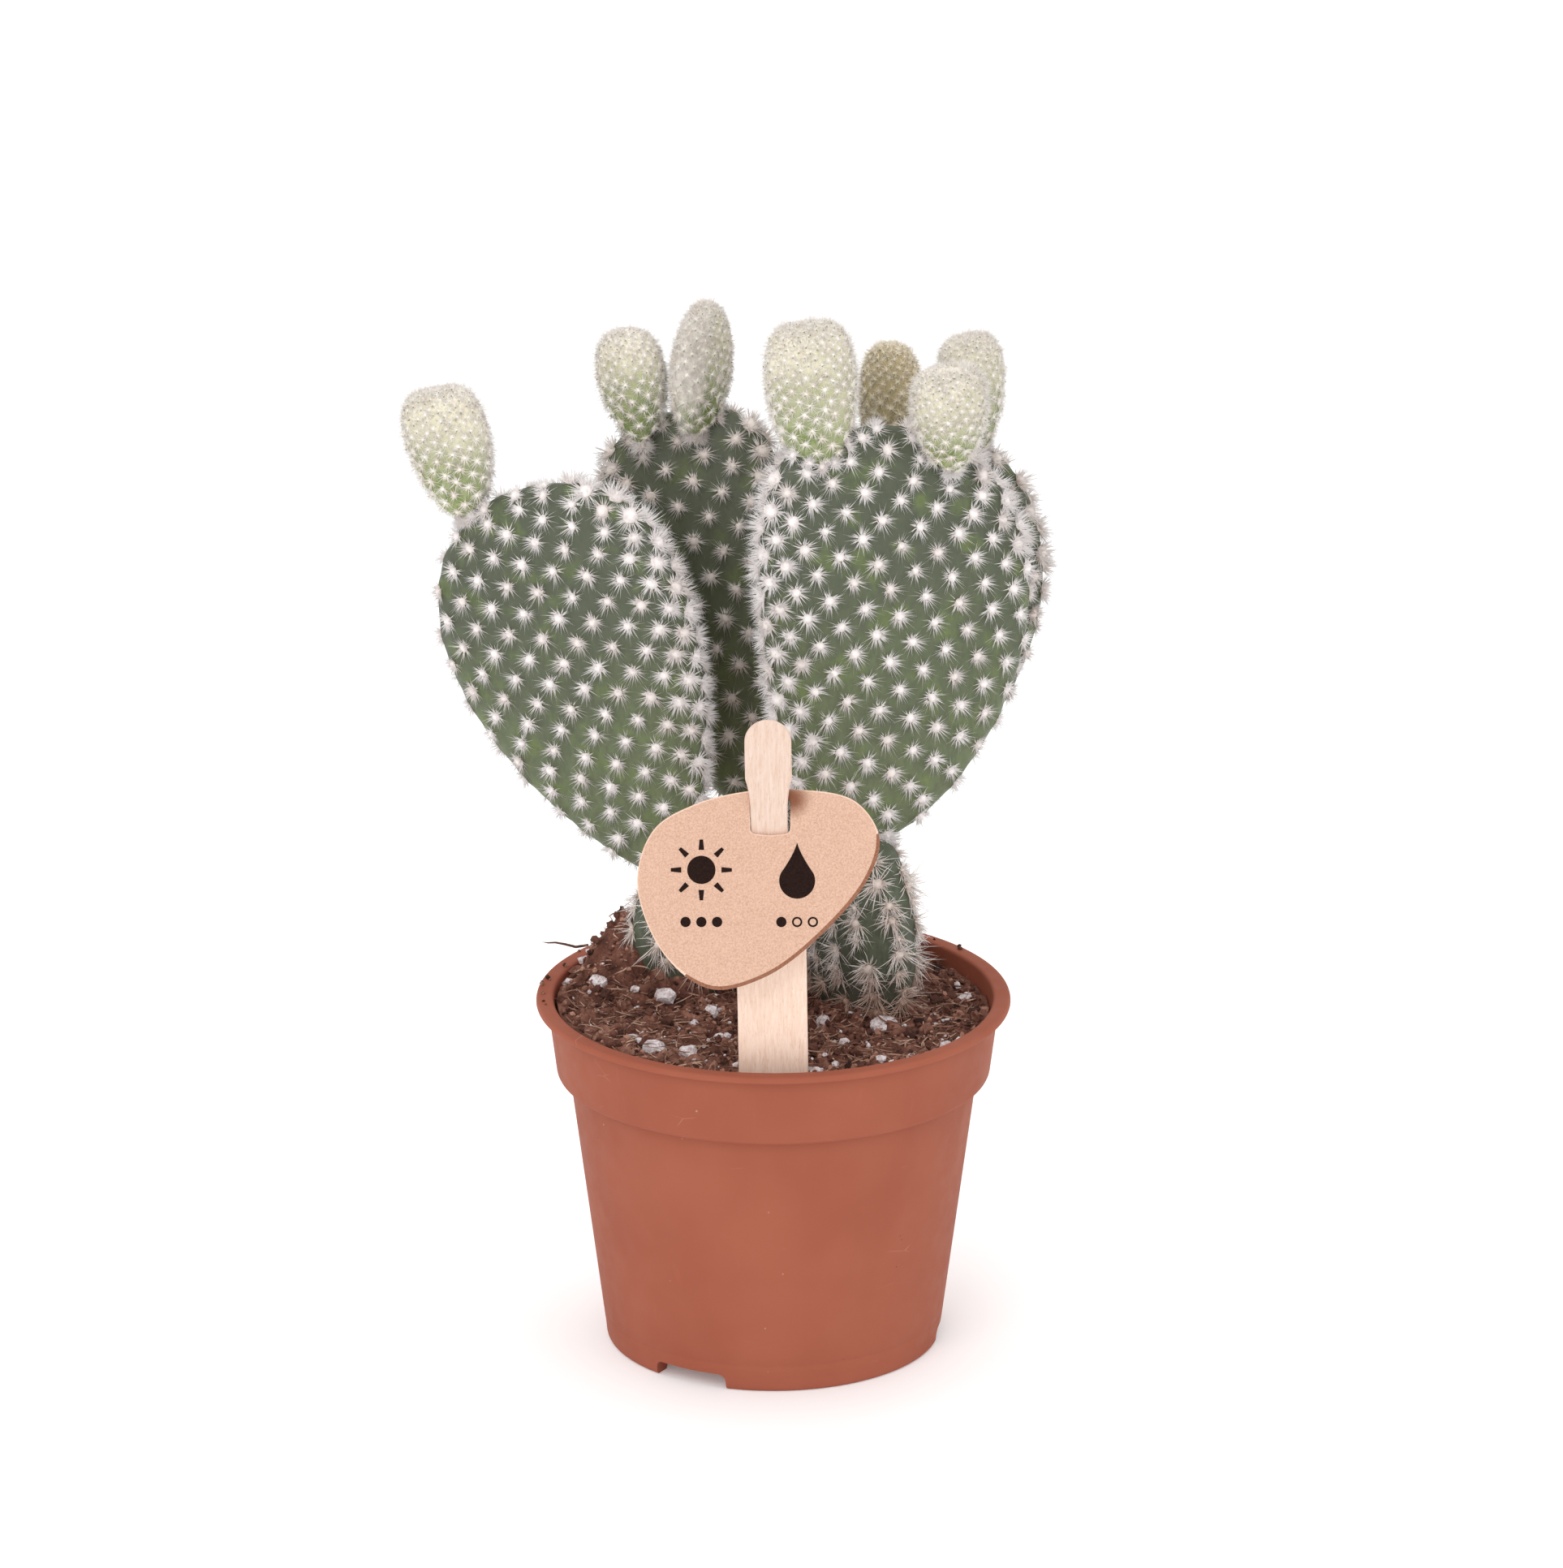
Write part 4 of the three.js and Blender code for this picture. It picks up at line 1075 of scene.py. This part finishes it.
def build_perlite(stubs, rng):
    """White grains: the large ones, loose ones and specks."""
    loose, specks = scatter(GRAINS, stubs, rng), scatter(SPECKS, stubs, rng)
    kinds = (
        (np.array(LARGE_GRAINS, float), FINE_BALL, 0.2, 0.2),
        (loose, COARSE_BALL, 0.25, 0.3),
        (specks, COARSE_BALL, 0.35, 0.2),
    )
    meshes = []
    for spots, ball, sunk, rough in kinds:
        meshes.append(lumps(seat(spots, sunk), spots[:, 2] * 1.4, ball, rng, rough, (0.55, 0.85)))
    new_piece("soil_perlite", *merged(meshes), [perlite_look()], "soil", False)


def build_rim_crumbs(rng, look):
    """Crumbs that lie on the pot's rim."""
    spots = []
    for turn_low, turn_high, count in RIM_CRUMBS:
        turn = np.radians(rng.uniform(turn_low, turn_high, count))
        r = rng.uniform(BAND_TOP_RADIUS - 0.6, RIM_RADIUS - 0.3, count)
        size = rng.uniform(0.4, 1.1, count)
        spots.append(np.stack([r * np.cos(turn), r * np.sin(turn), size], axis=-1))
    x, y, size = np.concatenate(spots).T
    seats = np.stack([x, y, POT_HEIGHT + 0.25 * size], axis=-1)
    made, faces = lumps(seats, size, COARSE_BALL, rng, 0.3)
    tone = np.repeat(rng.uniform(0, 0.7, len(size)), len(COARSE_BALL[0]))
    new_piece("rim_crumbs", made, faces, [look], "soil", False, {"tone": tone})


def build_root(rng, look):
    """The loose root that sticks out over the rim."""
    made, faces, _, _ = strands(np.array([ROOT_FIBRE], float), np.array([ROOT_RADII]), rng)
    new_piece("root_fibre", made, faces, [look], "soil", True, {"tone": np.full(len(made), 0.35)})


def build_soil(stubs):
    rng = np.random.default_rng(SEEDS["soil"])
    lump_look = soil_look("peat lumps", (44, 24, 19), (114, 74, 61), (188, 142, 122))
    build_bed()
    build_crumbs(stubs, rng, lump_look)
    build_threads(stubs, rng)
    build_perlite(stubs, rng)
    build_rim_crumbs(rng, lump_look)
    build_root(rng, lump_look)


# The plant
STUB_TUFT = Tuft(
    (
        Hairs(56, (1.2, 2.7), 0.17, (10, 86), 0.1),
        Hairs(40, (2.6, 5.6), 0.18, (25, 88), 0.25, 3),
    ),
    0.9,
    0.9,
)
HIDDEN_TUFT = Tuft((Hairs(34, (2.0, 4.0), 0.22, (20, 85), 0.2),), 0.9, 1.0)
PAD_TUFT = Tuft(
    (
        Hairs(49, (1.2, 2.5), 0.29, (5, 87)),
        Hairs(34, (2.2, 3.8), 0.13, (30, 88), 0.05, growth=0.3),
        Hairs(44, (1.5, 2.9), 0.26, (0, 75), rim=0.3),
    ),
    0.9,
    1.0,
)
EAR_TUFT = Tuft(
    (
        Hairs(26, (0.8, 1.35), 0.24, (8, 88)),
        Hairs(23, (1.5, 2.4), 0.15, (40, 88)),
        Hairs(15, (1.6, 2.8), 0.11, (0, 60), growth=0.3, rim=0.35),
        Hairs(30, (1.4, 2.6), 0.13, (50, 88), growth=0.3, rim=1.2),
    ),
    0.4,
    0.5,
)


@dataclass
class Cover:
    """How the pads of a group are covered. grid is the skin's (rings, steps), mound the (height, radius) of
    its rise under a tuft, and inset how far it lies inside the solid. Tufts grow above the t of bare_foot
    and that clearance over the soil. places is (ribs, spacing, twist, phase) on a stub, and elsewhere
    (spacing, crowding on the rim, crowding at the tip)."""

    grid: tuple
    mound: tuple
    inset: float
    tuft: Tuft
    bare_foot: float
    clearance: float
    places: tuple


COVERS = {
    "stub": Cover((60, 72), (0.5, 2.2), 0.0, STUB_TUFT, 0.0, 0.6, (9, 3.6, 0.16, -0.174)),
    "pad": Cover((68, 88), (0.4, 2.2), 0.3, PAD_TUFT, 0.03, 1.0, (5.7, 1.0, 0.0)),
    "ear": Cover((40, 50), (0.25, 0.75), 0.55, EAR_TUFT, 0.03, 1.0, (2.9, 0.0, 4.5)),
}
COLLAR = {"pad": (12, 1.1), "ear": (11, 0.8)}
COLLAR_RISE = 0.35
RIM_GROWTH = (0.3, 0.35)
COAT = 3.0
SOILED_HEIGHTS = (63, 77)
LEAF_TIP = {"length": 0.7, "width": 0.34, "lowest": 0.25, "share": 0.7}


def plant_looks():
    skins = {
        "stub": skin_look("stub skin", (74, 74, 62), (84, 92, 72), (98, 110, 86), (48, 46, 38)),
        "pad": skin_look("pad skin", (98, 108, 74), (78, 84, 66), (108, 124, 66), (66, 72, 56)),
        # The back pads' skin: a copy of the pad skin with a darker foot and patches, painted shade for their
        # place behind the front pads
        "back": skin_look("back pad skin", (92, 98, 62), (84, 90, 70), (100, 112, 58), (66, 68, 54)),
        "ear": skin_look(
            "ear skin",
            (112, 130, 66),
            (240, 232, 210),
            (168, 176, 118),
            (192, 192, 152),
            turning=0.61,
            felt=(250, 241, 234),
        ),
        # ear_5's skin: a darker, browner copy of the ear skin, painted shade for its place behind the front
        # pads
        "dull": skin_look("shaded ear skin", (160, 144, 90), (190, 174, 130), (170, 156, 98), (156, 140, 100)),
    }
    hairs = {
        "stub": bristle_look("stub bristles", (222, 205, 193), (251, 244, 241), (206, 174, 156)),
        "pad": bristle_look("pad bristles", (238, 230, 227), (248, 243, 242)),
        # The back pads' bristles, darker than the front pads': painted shade
        "back": bristle_look("back pad bristles", (222, 209, 200), (240, 233, 230)),
        "ear": bristle_look("ear bristles", (252, 248, 236), (251, 244, 238)),
        # ear_5's bristles: darker and yellower than the other ears', painted shade
        "dull": bristle_look("shaded ear bristles", (242, 230, 200), (246, 236, 220)),
    }
    return skins, hairs


def tuft_places(pad, places, rng):
    """Where tufts would grow on a whole pad, as (t, angle)."""
    if pad.group == "stub":
        return ribs(pad, *places, rng)
    t, angle = lattice(pad, *places)
    if pad.group == "ear":
        t = np.clip(t + rng.uniform(-0.005, 0.005, len(t)), 0.002, 0.998)
        angle = angle + rng.uniform(-0.03, 0.03, len(t))
    return t, angle


def tuft_sizes(pad, t, angle, rng):
    size = rng.uniform(0.85, 1.12, len(t))
    if pad.group == "stub":
        return size**2.5
    if pad.group == "ear":
        return size * (1.15 - 0.5 * smoothstep(t, 0.35, 0.9))
    growth = RIM_GROWTH[0] + RIM_GROWTH[1] * smoothstep(t, 0.5, 0.8)
    return size * (1 + growth * wool(pad, t, angle))


def build_pad(pad, parent, others, skin, hair, wool_hair, rng):
    """A pad's skin, its bristles and the collar of wool at its joint. Returns places for leaf tips."""
    cover = COVERS[pad.group]
    t, angle = tuft_places(pad, cover.places, rng)
    free = free_places(pad, t, angle, others, cover.bare_foot, cover.clearance)
    t, angle = t[free], angle[free]
    size = tuft_sizes(pad, t, angle, rng)
    leafy = (t > LEAF_TIP["lowest"]) & (rng.uniform(0, 1, len(t)) < LEAF_TIP["share"])
    surface, outward = pad.point(t, angle), pad.outward(t, angle)
    shape, faces, height, around = skin_mesh(pad, cover.grid, surface, cover.mound, cover.inset)
    values = {"height": height}
    rim = wool(pad, t, angle)
    if pad.group == "ear":
        values["felt"] = felt(pad, height, around)
        rim = fur(pad, t, angle)
    body = new_piece(f"{pad.name}_skin", shape, faces, [skin], pad.group, True, values)
    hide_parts(pad.name)
    tuft = HIDDEN_TUFT if pad.name == "stub_back" else cover.tuft
    roots = surface + outward * (0.8 * cover.mound[0] - cover.inset)
    made, faces, values = tufts_mesh(pad, roots, outward, tuft, rng, size, rim)
    new_piece(f"{pad.name}_bristles", made, faces, [hair], pad.group, True, values)
    if parent:
        build_collar(pad, parent, wool_hair, rng)
    return surface[leafy] - (cover.inset - 0.5) * outward[leafy]


def build_collar(pad, parent, hair, rng):
    """The woolly tufts round the joint of a pad with its parent."""
    count, growth = COLLAR[pad.group]
    t, angle = collar(pad, parent, count)
    size = growth * rng.uniform(0.8, 1.2, count)
    outward = pad.outward(t, angle)
    outward = unit(unit(outward - (outward @ pad.axis)[:, None] * pad.axis) + COLLAR_RISE * pad.axis)
    rim = np.full(count, COAT)
    made, faces, values = tufts_mesh(pad, pad.point(t, angle), outward, PAD_TUFT, rng, size, rim)
    new_piece(f"{pad.name}_collar", made, faces, [hair], pad.group, True, values)


def build_leaf_tips(spots, rng):
    """The tiny green leaf under each tuft of a young ear, its dark green also standing in as painted shade
    under the tuft.
    """
    count = len(spots)
    start = spots + [0, 0, -0.35] + rng.uniform(-0.2, 0.2, (count, 3))
    way = rng.uniform(-0.4, 0.4, (count, 3)) + [0, -0.8, 0.3]
    line = np.stack([start, start + LEAF_TIP["length"] * unit(way)], axis=1)
    radii = np.full((count, 2), LEAF_TIP["width"] / 2)
    made, faces, _, _ = strands(line, radii, rng)
    look = Look("leaf tips", Roughness=0.6)
    # Dark greens: the leaves' own colour, made darker as painted shade under the tufts
    look.colour(look.mix(look.remap(look.noise(1.5, 2), 0.35, 0.65), (122, 136, 70), (156, 158, 104)))
    new_piece("ear_leaf_tips", made, faces, [look.material], "ear", False)


def build_plant(pads):
    skins, hairs = plant_looks()
    leaf_spots = []
    for number, pad in enumerate(pads):
        # The back pads and ear_5 take darker looks, painted shade for their places behind the front pads
        look = "back" if "pad_back" in pad.name else "dull" if pad.name == "ear_5" else pad.group
        parent = next((other for other in pads if other.name == pad.on), None)
        others = [other for other in pads if other is parent or other.on == pad.name]
        # The joint wool of pads that grow on a back stub or back pad takes the darker back bristles: painted
        # shade
        wool_hair = hairs["back" if parent and "back" in pad.on else "pad"]
        rng = np.random.default_rng(SEEDS["first pad"] + number)
        spots = build_pad(pad, parent, others, skins[look], hairs[look], wool_hair, rng)
        if pad.group == "ear":
            leaf_spots.append(spots)
    build_leaf_tips(np.concatenate(leaf_spots), np.random.default_rng(SEEDS["leaf tips"]))


# Stake and tag
def plate(outline, hole, thickness, bevel, edge=1):
    """A flat plate with softened edges. The bevel's width and the mark of the edge's faces are numbers,
    or one number for each point of the outline. Returns points, faces and their marks, 0 on the flats."""
    loops = [np.array(loop, float) for loop in (outline, hole) if loop is not None]
    half = thickness / 2
    drop = min(np.min(bevel) * 1.2, 0.3 * thickness)
    stations = [(1, half), (0.3, half - 0.7 * drop), (0, half - drop)]
    stations += [(share, -height) for share, height in reversed(stations)]
    points, quads, triangles, marks, rims = [], [], [], [], []
    for loop, width, mark in zip(loops, (bevel, np.min(bevel)), (edge, 1)):
        tangent = unit(np.roll(loop, -1, axis=0) - np.roll(loop, 1, axis=0))
        inward = np.stack([-tangent[:, 1], tangent[:, 0]], axis=-1)
        first = sum(len(p) for p in points)
        count = len(loop)
        width, mark = np.broadcast_to(width, count), np.broadcast_to(mark, count)
        for share, height in stations:
            ring = loop + inward * width[:, None] * share
            points.append(np.column_stack([ring, np.full(count, height)]))
        for row in range(len(stations) - 1):
            for i in range(count):
                a, b = first + row * count + i, first + row * count + (i + 1) % count
                quads.append([b, a, a + count, b + count])
                marks.append(mark[i])
        rims.append(np.arange(first, first + count))
    points = np.concatenate(points)
    for under in (False, True):
        rings = [rim + under * (len(stations) - 1) * len(rim) for rim in rims]
        numbers = np.concatenate(rings)
        flats = [[Vector((x, y, 0)) for x, y, _ in points[ring]] for ring in rings]
        for triangle in tessellate_polygon(flats):
            corners = numbers[list(triangle)]
            a, b, c = points[corners]
            turn = np.cross(b - a, c - a)[2]
            triangles.append(corners if (turn < 0) == under else corners[::-1])
    return points, [np.array(quads), np.array(triangles)], marks + [0] * len(triangles)


def placed(points, rotation, offset):
    return np.asarray(points) @ np.array(rotation).T + offset


def stake_outline():
    half, neck, head = STAKE_WIDTH / 2, STAKE_NECK_WIDTH / 2, STAKE_HEAD_WIDTH / 2
    right = [(half * 0.35, STAKE_FOOT), (half, STAKE_FOOT + 9)]
    right += [(half, z) for z in np.linspace(STAKE_FOOT + 14, STAKE_SHOULDER - 1, 12)]
    right += bend_through((half, STAKE_SHOULDER), (half, STAKE_SHOULDER + 3), (neck, STAKE_NECK))
    right += [(neck, z) for z in np.linspace(STAKE_NECK + 1, STAKE_HEAD - 8, 6)]
    right += bend_through((neck, STAKE_HEAD - 7), (neck, STAKE_HEAD - 3), (head, STAKE_HEAD))
    crown = arc((0, STAKE_TOP - head), head, 0, 180, 28)
    return right + crown + [(-x, z) for x, z in reversed(right)]


def build_stake():
    turn = Matrix.Rotation(math.radians(-STAKE["lean"]), 3, "Y")
    turn = turn @ Matrix.Rotation(math.radians(90 + STAKE["forward"]), 3, "X")
    points, faces, _ = plate(stake_outline(), None, STAKE["thickness"], STAKE["bevel"])
    points = placed(points, turn, [STAKE["x"], STAKE["y"], 0])
    stake = new_piece("stake_wood", points, faces, [wood_look()], "stake", False)
    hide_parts("stake")


def tag_frame():
    turn = Matrix.Rotation(math.radians(90 - TAG["tilt"]), 3, "X")
    back = TAG["height"] * math.sin(math.radians(STAKE["forward"]))
    return turn, np.array([0, STAKE["y"] - back, TAG["height"]])


def build_tag():
    rim = curve_through(TAG_OUTLINE)[::-1]
    middle, rise = TAG["slot_x"], TAG["slot_height"] / 2
    left, right = middle - TAG["slot_width"] / 2, middle + TAG["slot_width"] / 2
    corners = [
        (left + 0.1, rise),
        (right, rise),
        (right, 0.5 - rise),
        (middle, 0.1 - rise),
        (left, 0.5 - rise),
        (left, rise),
        (left + 0.1, rise),
    ]
    slot = rounded(corners, 1.0)[:-2]
    turn, offset = tag_frame()
    # The point of the stake's painted shadow on the card
    shadow_point = tuple(float(c) for c in placed(STAKE_SHADOW_SPOT, turn, offset) * MM + POT_AXIS)
    # The tag's other edges and its slot's get a paler card, a painted highlight; its lower right edges a
    # darker brown one
    looks = [
        card_look("kraft card", (215, 178, 156), (191, 153, 131), shadow_point),
        card_look("highlighted card edge", (236, 204, 184), (222, 186, 164), shadow_point),
        card_look("dark lower card edge", (156, 106, 82), (126, 82, 62), shadow_point),
    ]
    tangent = unit(np.roll(rim, -1, axis=0) - np.roll(rim, 1, axis=0))
    low_side = tangent @ LOWER_EDGE_RUN
    bevel = 0.2 + 0.5 * smoothstep(low_side, 0.0, 0.6)
    points, faces, marks = plate(rim, slot, TAG["thickness"], bevel, np.where(low_side > 0.3, 2, 1))
    tag = new_piece("tag_card", placed(points, turn, offset), faces, looks, "tag", False, None, marks)
    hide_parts("tag")


def pictogram_outlines():
    """Care signs for the tag's front as (outline, hole): a sun and a drop, each over a row of dots."""
    drop_x, drop_y = DROP_SPOT
    sun_x, sun_y = SUN_SPOT
    shapes = [(arc(SUN_SPOT, 2.6, 0, 350, 36), None)]
    for turn in np.radians(np.arange(0, 360, 45)):
        way, over = np.array([math.cos(turn), math.sin(turn)]), np.array([-math.sin(turn), math.cos(turn)])
        inner, outer = np.array(SUN_SPOT) + 3.7 * way, np.array(SUN_SPOT) + 5.6 * way
        ray = [outer + 0.3 * over, outer - 0.3 * over, inner - 0.5 * over, inner + 0.5 * over]
        shapes.append((ray, None))
    bowl = arc((drop_x, drop_y - 1.4), 3.3, -205, 25, 30)
    left = bend_through((drop_x, drop_y + 5.6), (drop_x - 0.6, drop_y + 3.4), bowl[0], 7)[:-1]
    right = bend_through(bowl[-1], (drop_x + 0.6, drop_y + 3.4), (drop_x, drop_y + 5.6), 7)[1:-1]
    shapes.append((left + bowl + right, None))
    for middle_x, full in ((sun_x, 3), (drop_x, 1)):
        for k in range(3):
            middle = (middle_x + 2.9 * (k - 1), LEVEL_DOT_Y)
            hole = arc(middle, 0.62, 350, 0, 24) if k >= full else None
            shapes.append((arc(middle, 0.95, 0, 350, 28), hole))
    return shapes


def build_print():
    turn, offset = tag_frame()
    points, quads, triangles = [], [], []
    for outline, hole in pictogram_outlines():
        sign, faces, _ = plate(outline, hole, INK_THICKNESS, 0.01)
        sign[:, 2] += (TAG["thickness"] + INK_THICKNESS) / 2
        start = sum(len(p) for p in points)
        points.append(placed(sign, turn, offset))
        quads.append(faces[0] + start)
        triangles.append(faces[1] + start)
    faces = [np.concatenate(quads), np.concatenate(triangles)]
    new_piece("tag_print", np.concatenate(points), faces, [ink_look()], "tag", False)


# Scene
def build_stage():
    floor_mesh = bpy.data.meshes.new("floor")
    corners = [(x * FLOOR_REACH, y * FLOOR_REACH, 0) for x, y in ((-1, -1), (1, -1), (1, 1), (-1, 1))]
    floor_mesh.from_pydata(corners, [], [(0, 1, 2, 3)])
    floor = bpy.data.objects.new("floor", floor_mesh)
    shade = (FLOOR_SHADE, FLOOR_SHADE, FLOOR_SHADE, 1)
    look = Look("white floor", Roughness=0.9, Specular_IOR_Level=0.1, Base_Color=shade)
    look.shader.inputs["Emission Color"].default_value = (1, 1, 1, 1)
    look.shader.inputs["Emission Strength"].default_value = FLOOR_GLOW
    floor_mesh.materials.append(look.material)
    bpy.context.scene.collection.objects.link(floor)
    world = bpy.data.worlds.new("studio")
    world.use_nodes = True
    world.node_tree.nodes["Background"].inputs["Color"].default_value = (1, 1, 1, 1)
    world.node_tree.nodes["Background"].inputs["Strength"].default_value = WORLD_LIGHT
    bpy.context.scene.world = world
    for name, spot, size, power in SOFTBOXES:
        light = bpy.data.lights.new(name, "AREA")
        light.shape = "SQUARE"
        light.size = size
        light.energy = power
        made = bpy.data.objects.new(name, light)
        made.location = spot
        made.rotation_euler = (LIGHTS_AIM - Vector(spot)).to_track_quat("-Z", "Y").to_euler()
        bpy.context.scene.collection.objects.link(made)
    bpy.context.scene.view_settings.view_transform = "Standard"


# Every pad's name, base, lean, turn, length, width, thickness, foot, crown, bow, on, woolly and wool_start
PLANT = (
    Pad("stub_left", (-15.4, 13.4, 54), (-2, -2), 14, 35.5, 22, 12.5),
    Pad("stub_right", (16.4, 7.4, 54), (1, -2), -50, 44, 24, 13.5),
    Pad("stub_back", (5, 28.5, 54), (0, 0), -4, 43, 30, 13),
    Pad("pad_left", (-18.6, 12, 86.4), (-18.8, 1.5), -25, 82, 53, 10.5, 0.8, 0.42, -3.8, "stub_left", 1, 0.82),
    Pad("pad_right", (16.4, 6, 95.4), (0.3, 1.5), 20, 82.2, 53.4, 11, 0.54, 0.36, 6.8, "stub_right", -1),
    Pad("pad_back_left", (-3.6, 29.5, 92.5), (-9.8, 5), -8, 81, 37.5, 9.5, 0.73, 0.33, -1, "stub_back"),
    Pad("pad_back_right", (14, 27, 91.6), (14.6, 3), 15, 80, 38, 9, 0.6, 0.4, 7.2, "stub_back"),
    Pad("ear_1", (-57.4, 20.3, 155.6), (-12.9, 0), -12, 26.6, 16.4, 9, 0.5, 0.27, 0, "pad_left"),
    Pad("ear_2", (-24.5, 33.5, 166), (-9.2, 4), -18, 23, 13.6, 8.6, 0.62, 0.38, 0, "pad_back_left"),
    Pad("ear_3", (-14.6, 33, 168), (4.6, -2), 50, 26.9, 14.2, 8.8, 0.46, 0.5, 0, "pad_back_left", -1),
    Pad("ear_4", (8.5, 5, 168.5), (-4.6, 0), 6, 30.6, 17.3, 9.5, 0.5, 0.27, 0, "pad_right"),
    Pad("ear_5", (22.4, 28.6, 159.5), (-1, 3), -20, 28, 12.4, 9, 0.6, 0.4, 0, "pad_back_right"),
    Pad("ear_6", (33.1, 10.5, 168.5), (-1.6, -24), 4, 25, 14.4, 9.5, 0.54, 0.27, 0, "pad_right"),
    Pad("ear_7", (37.8, 31, 164.5), (-2.6, 4), 36, 24, 14.6, 8.6, 0.62, 0.31, 0, "pad_back_right"),
)

make_camera()
build_pot()
build_soil([pad for pad in PLANT if pad.on is None])
build_plant(PLANT)
build_stake()
build_tag()
build_print()
build_stage()
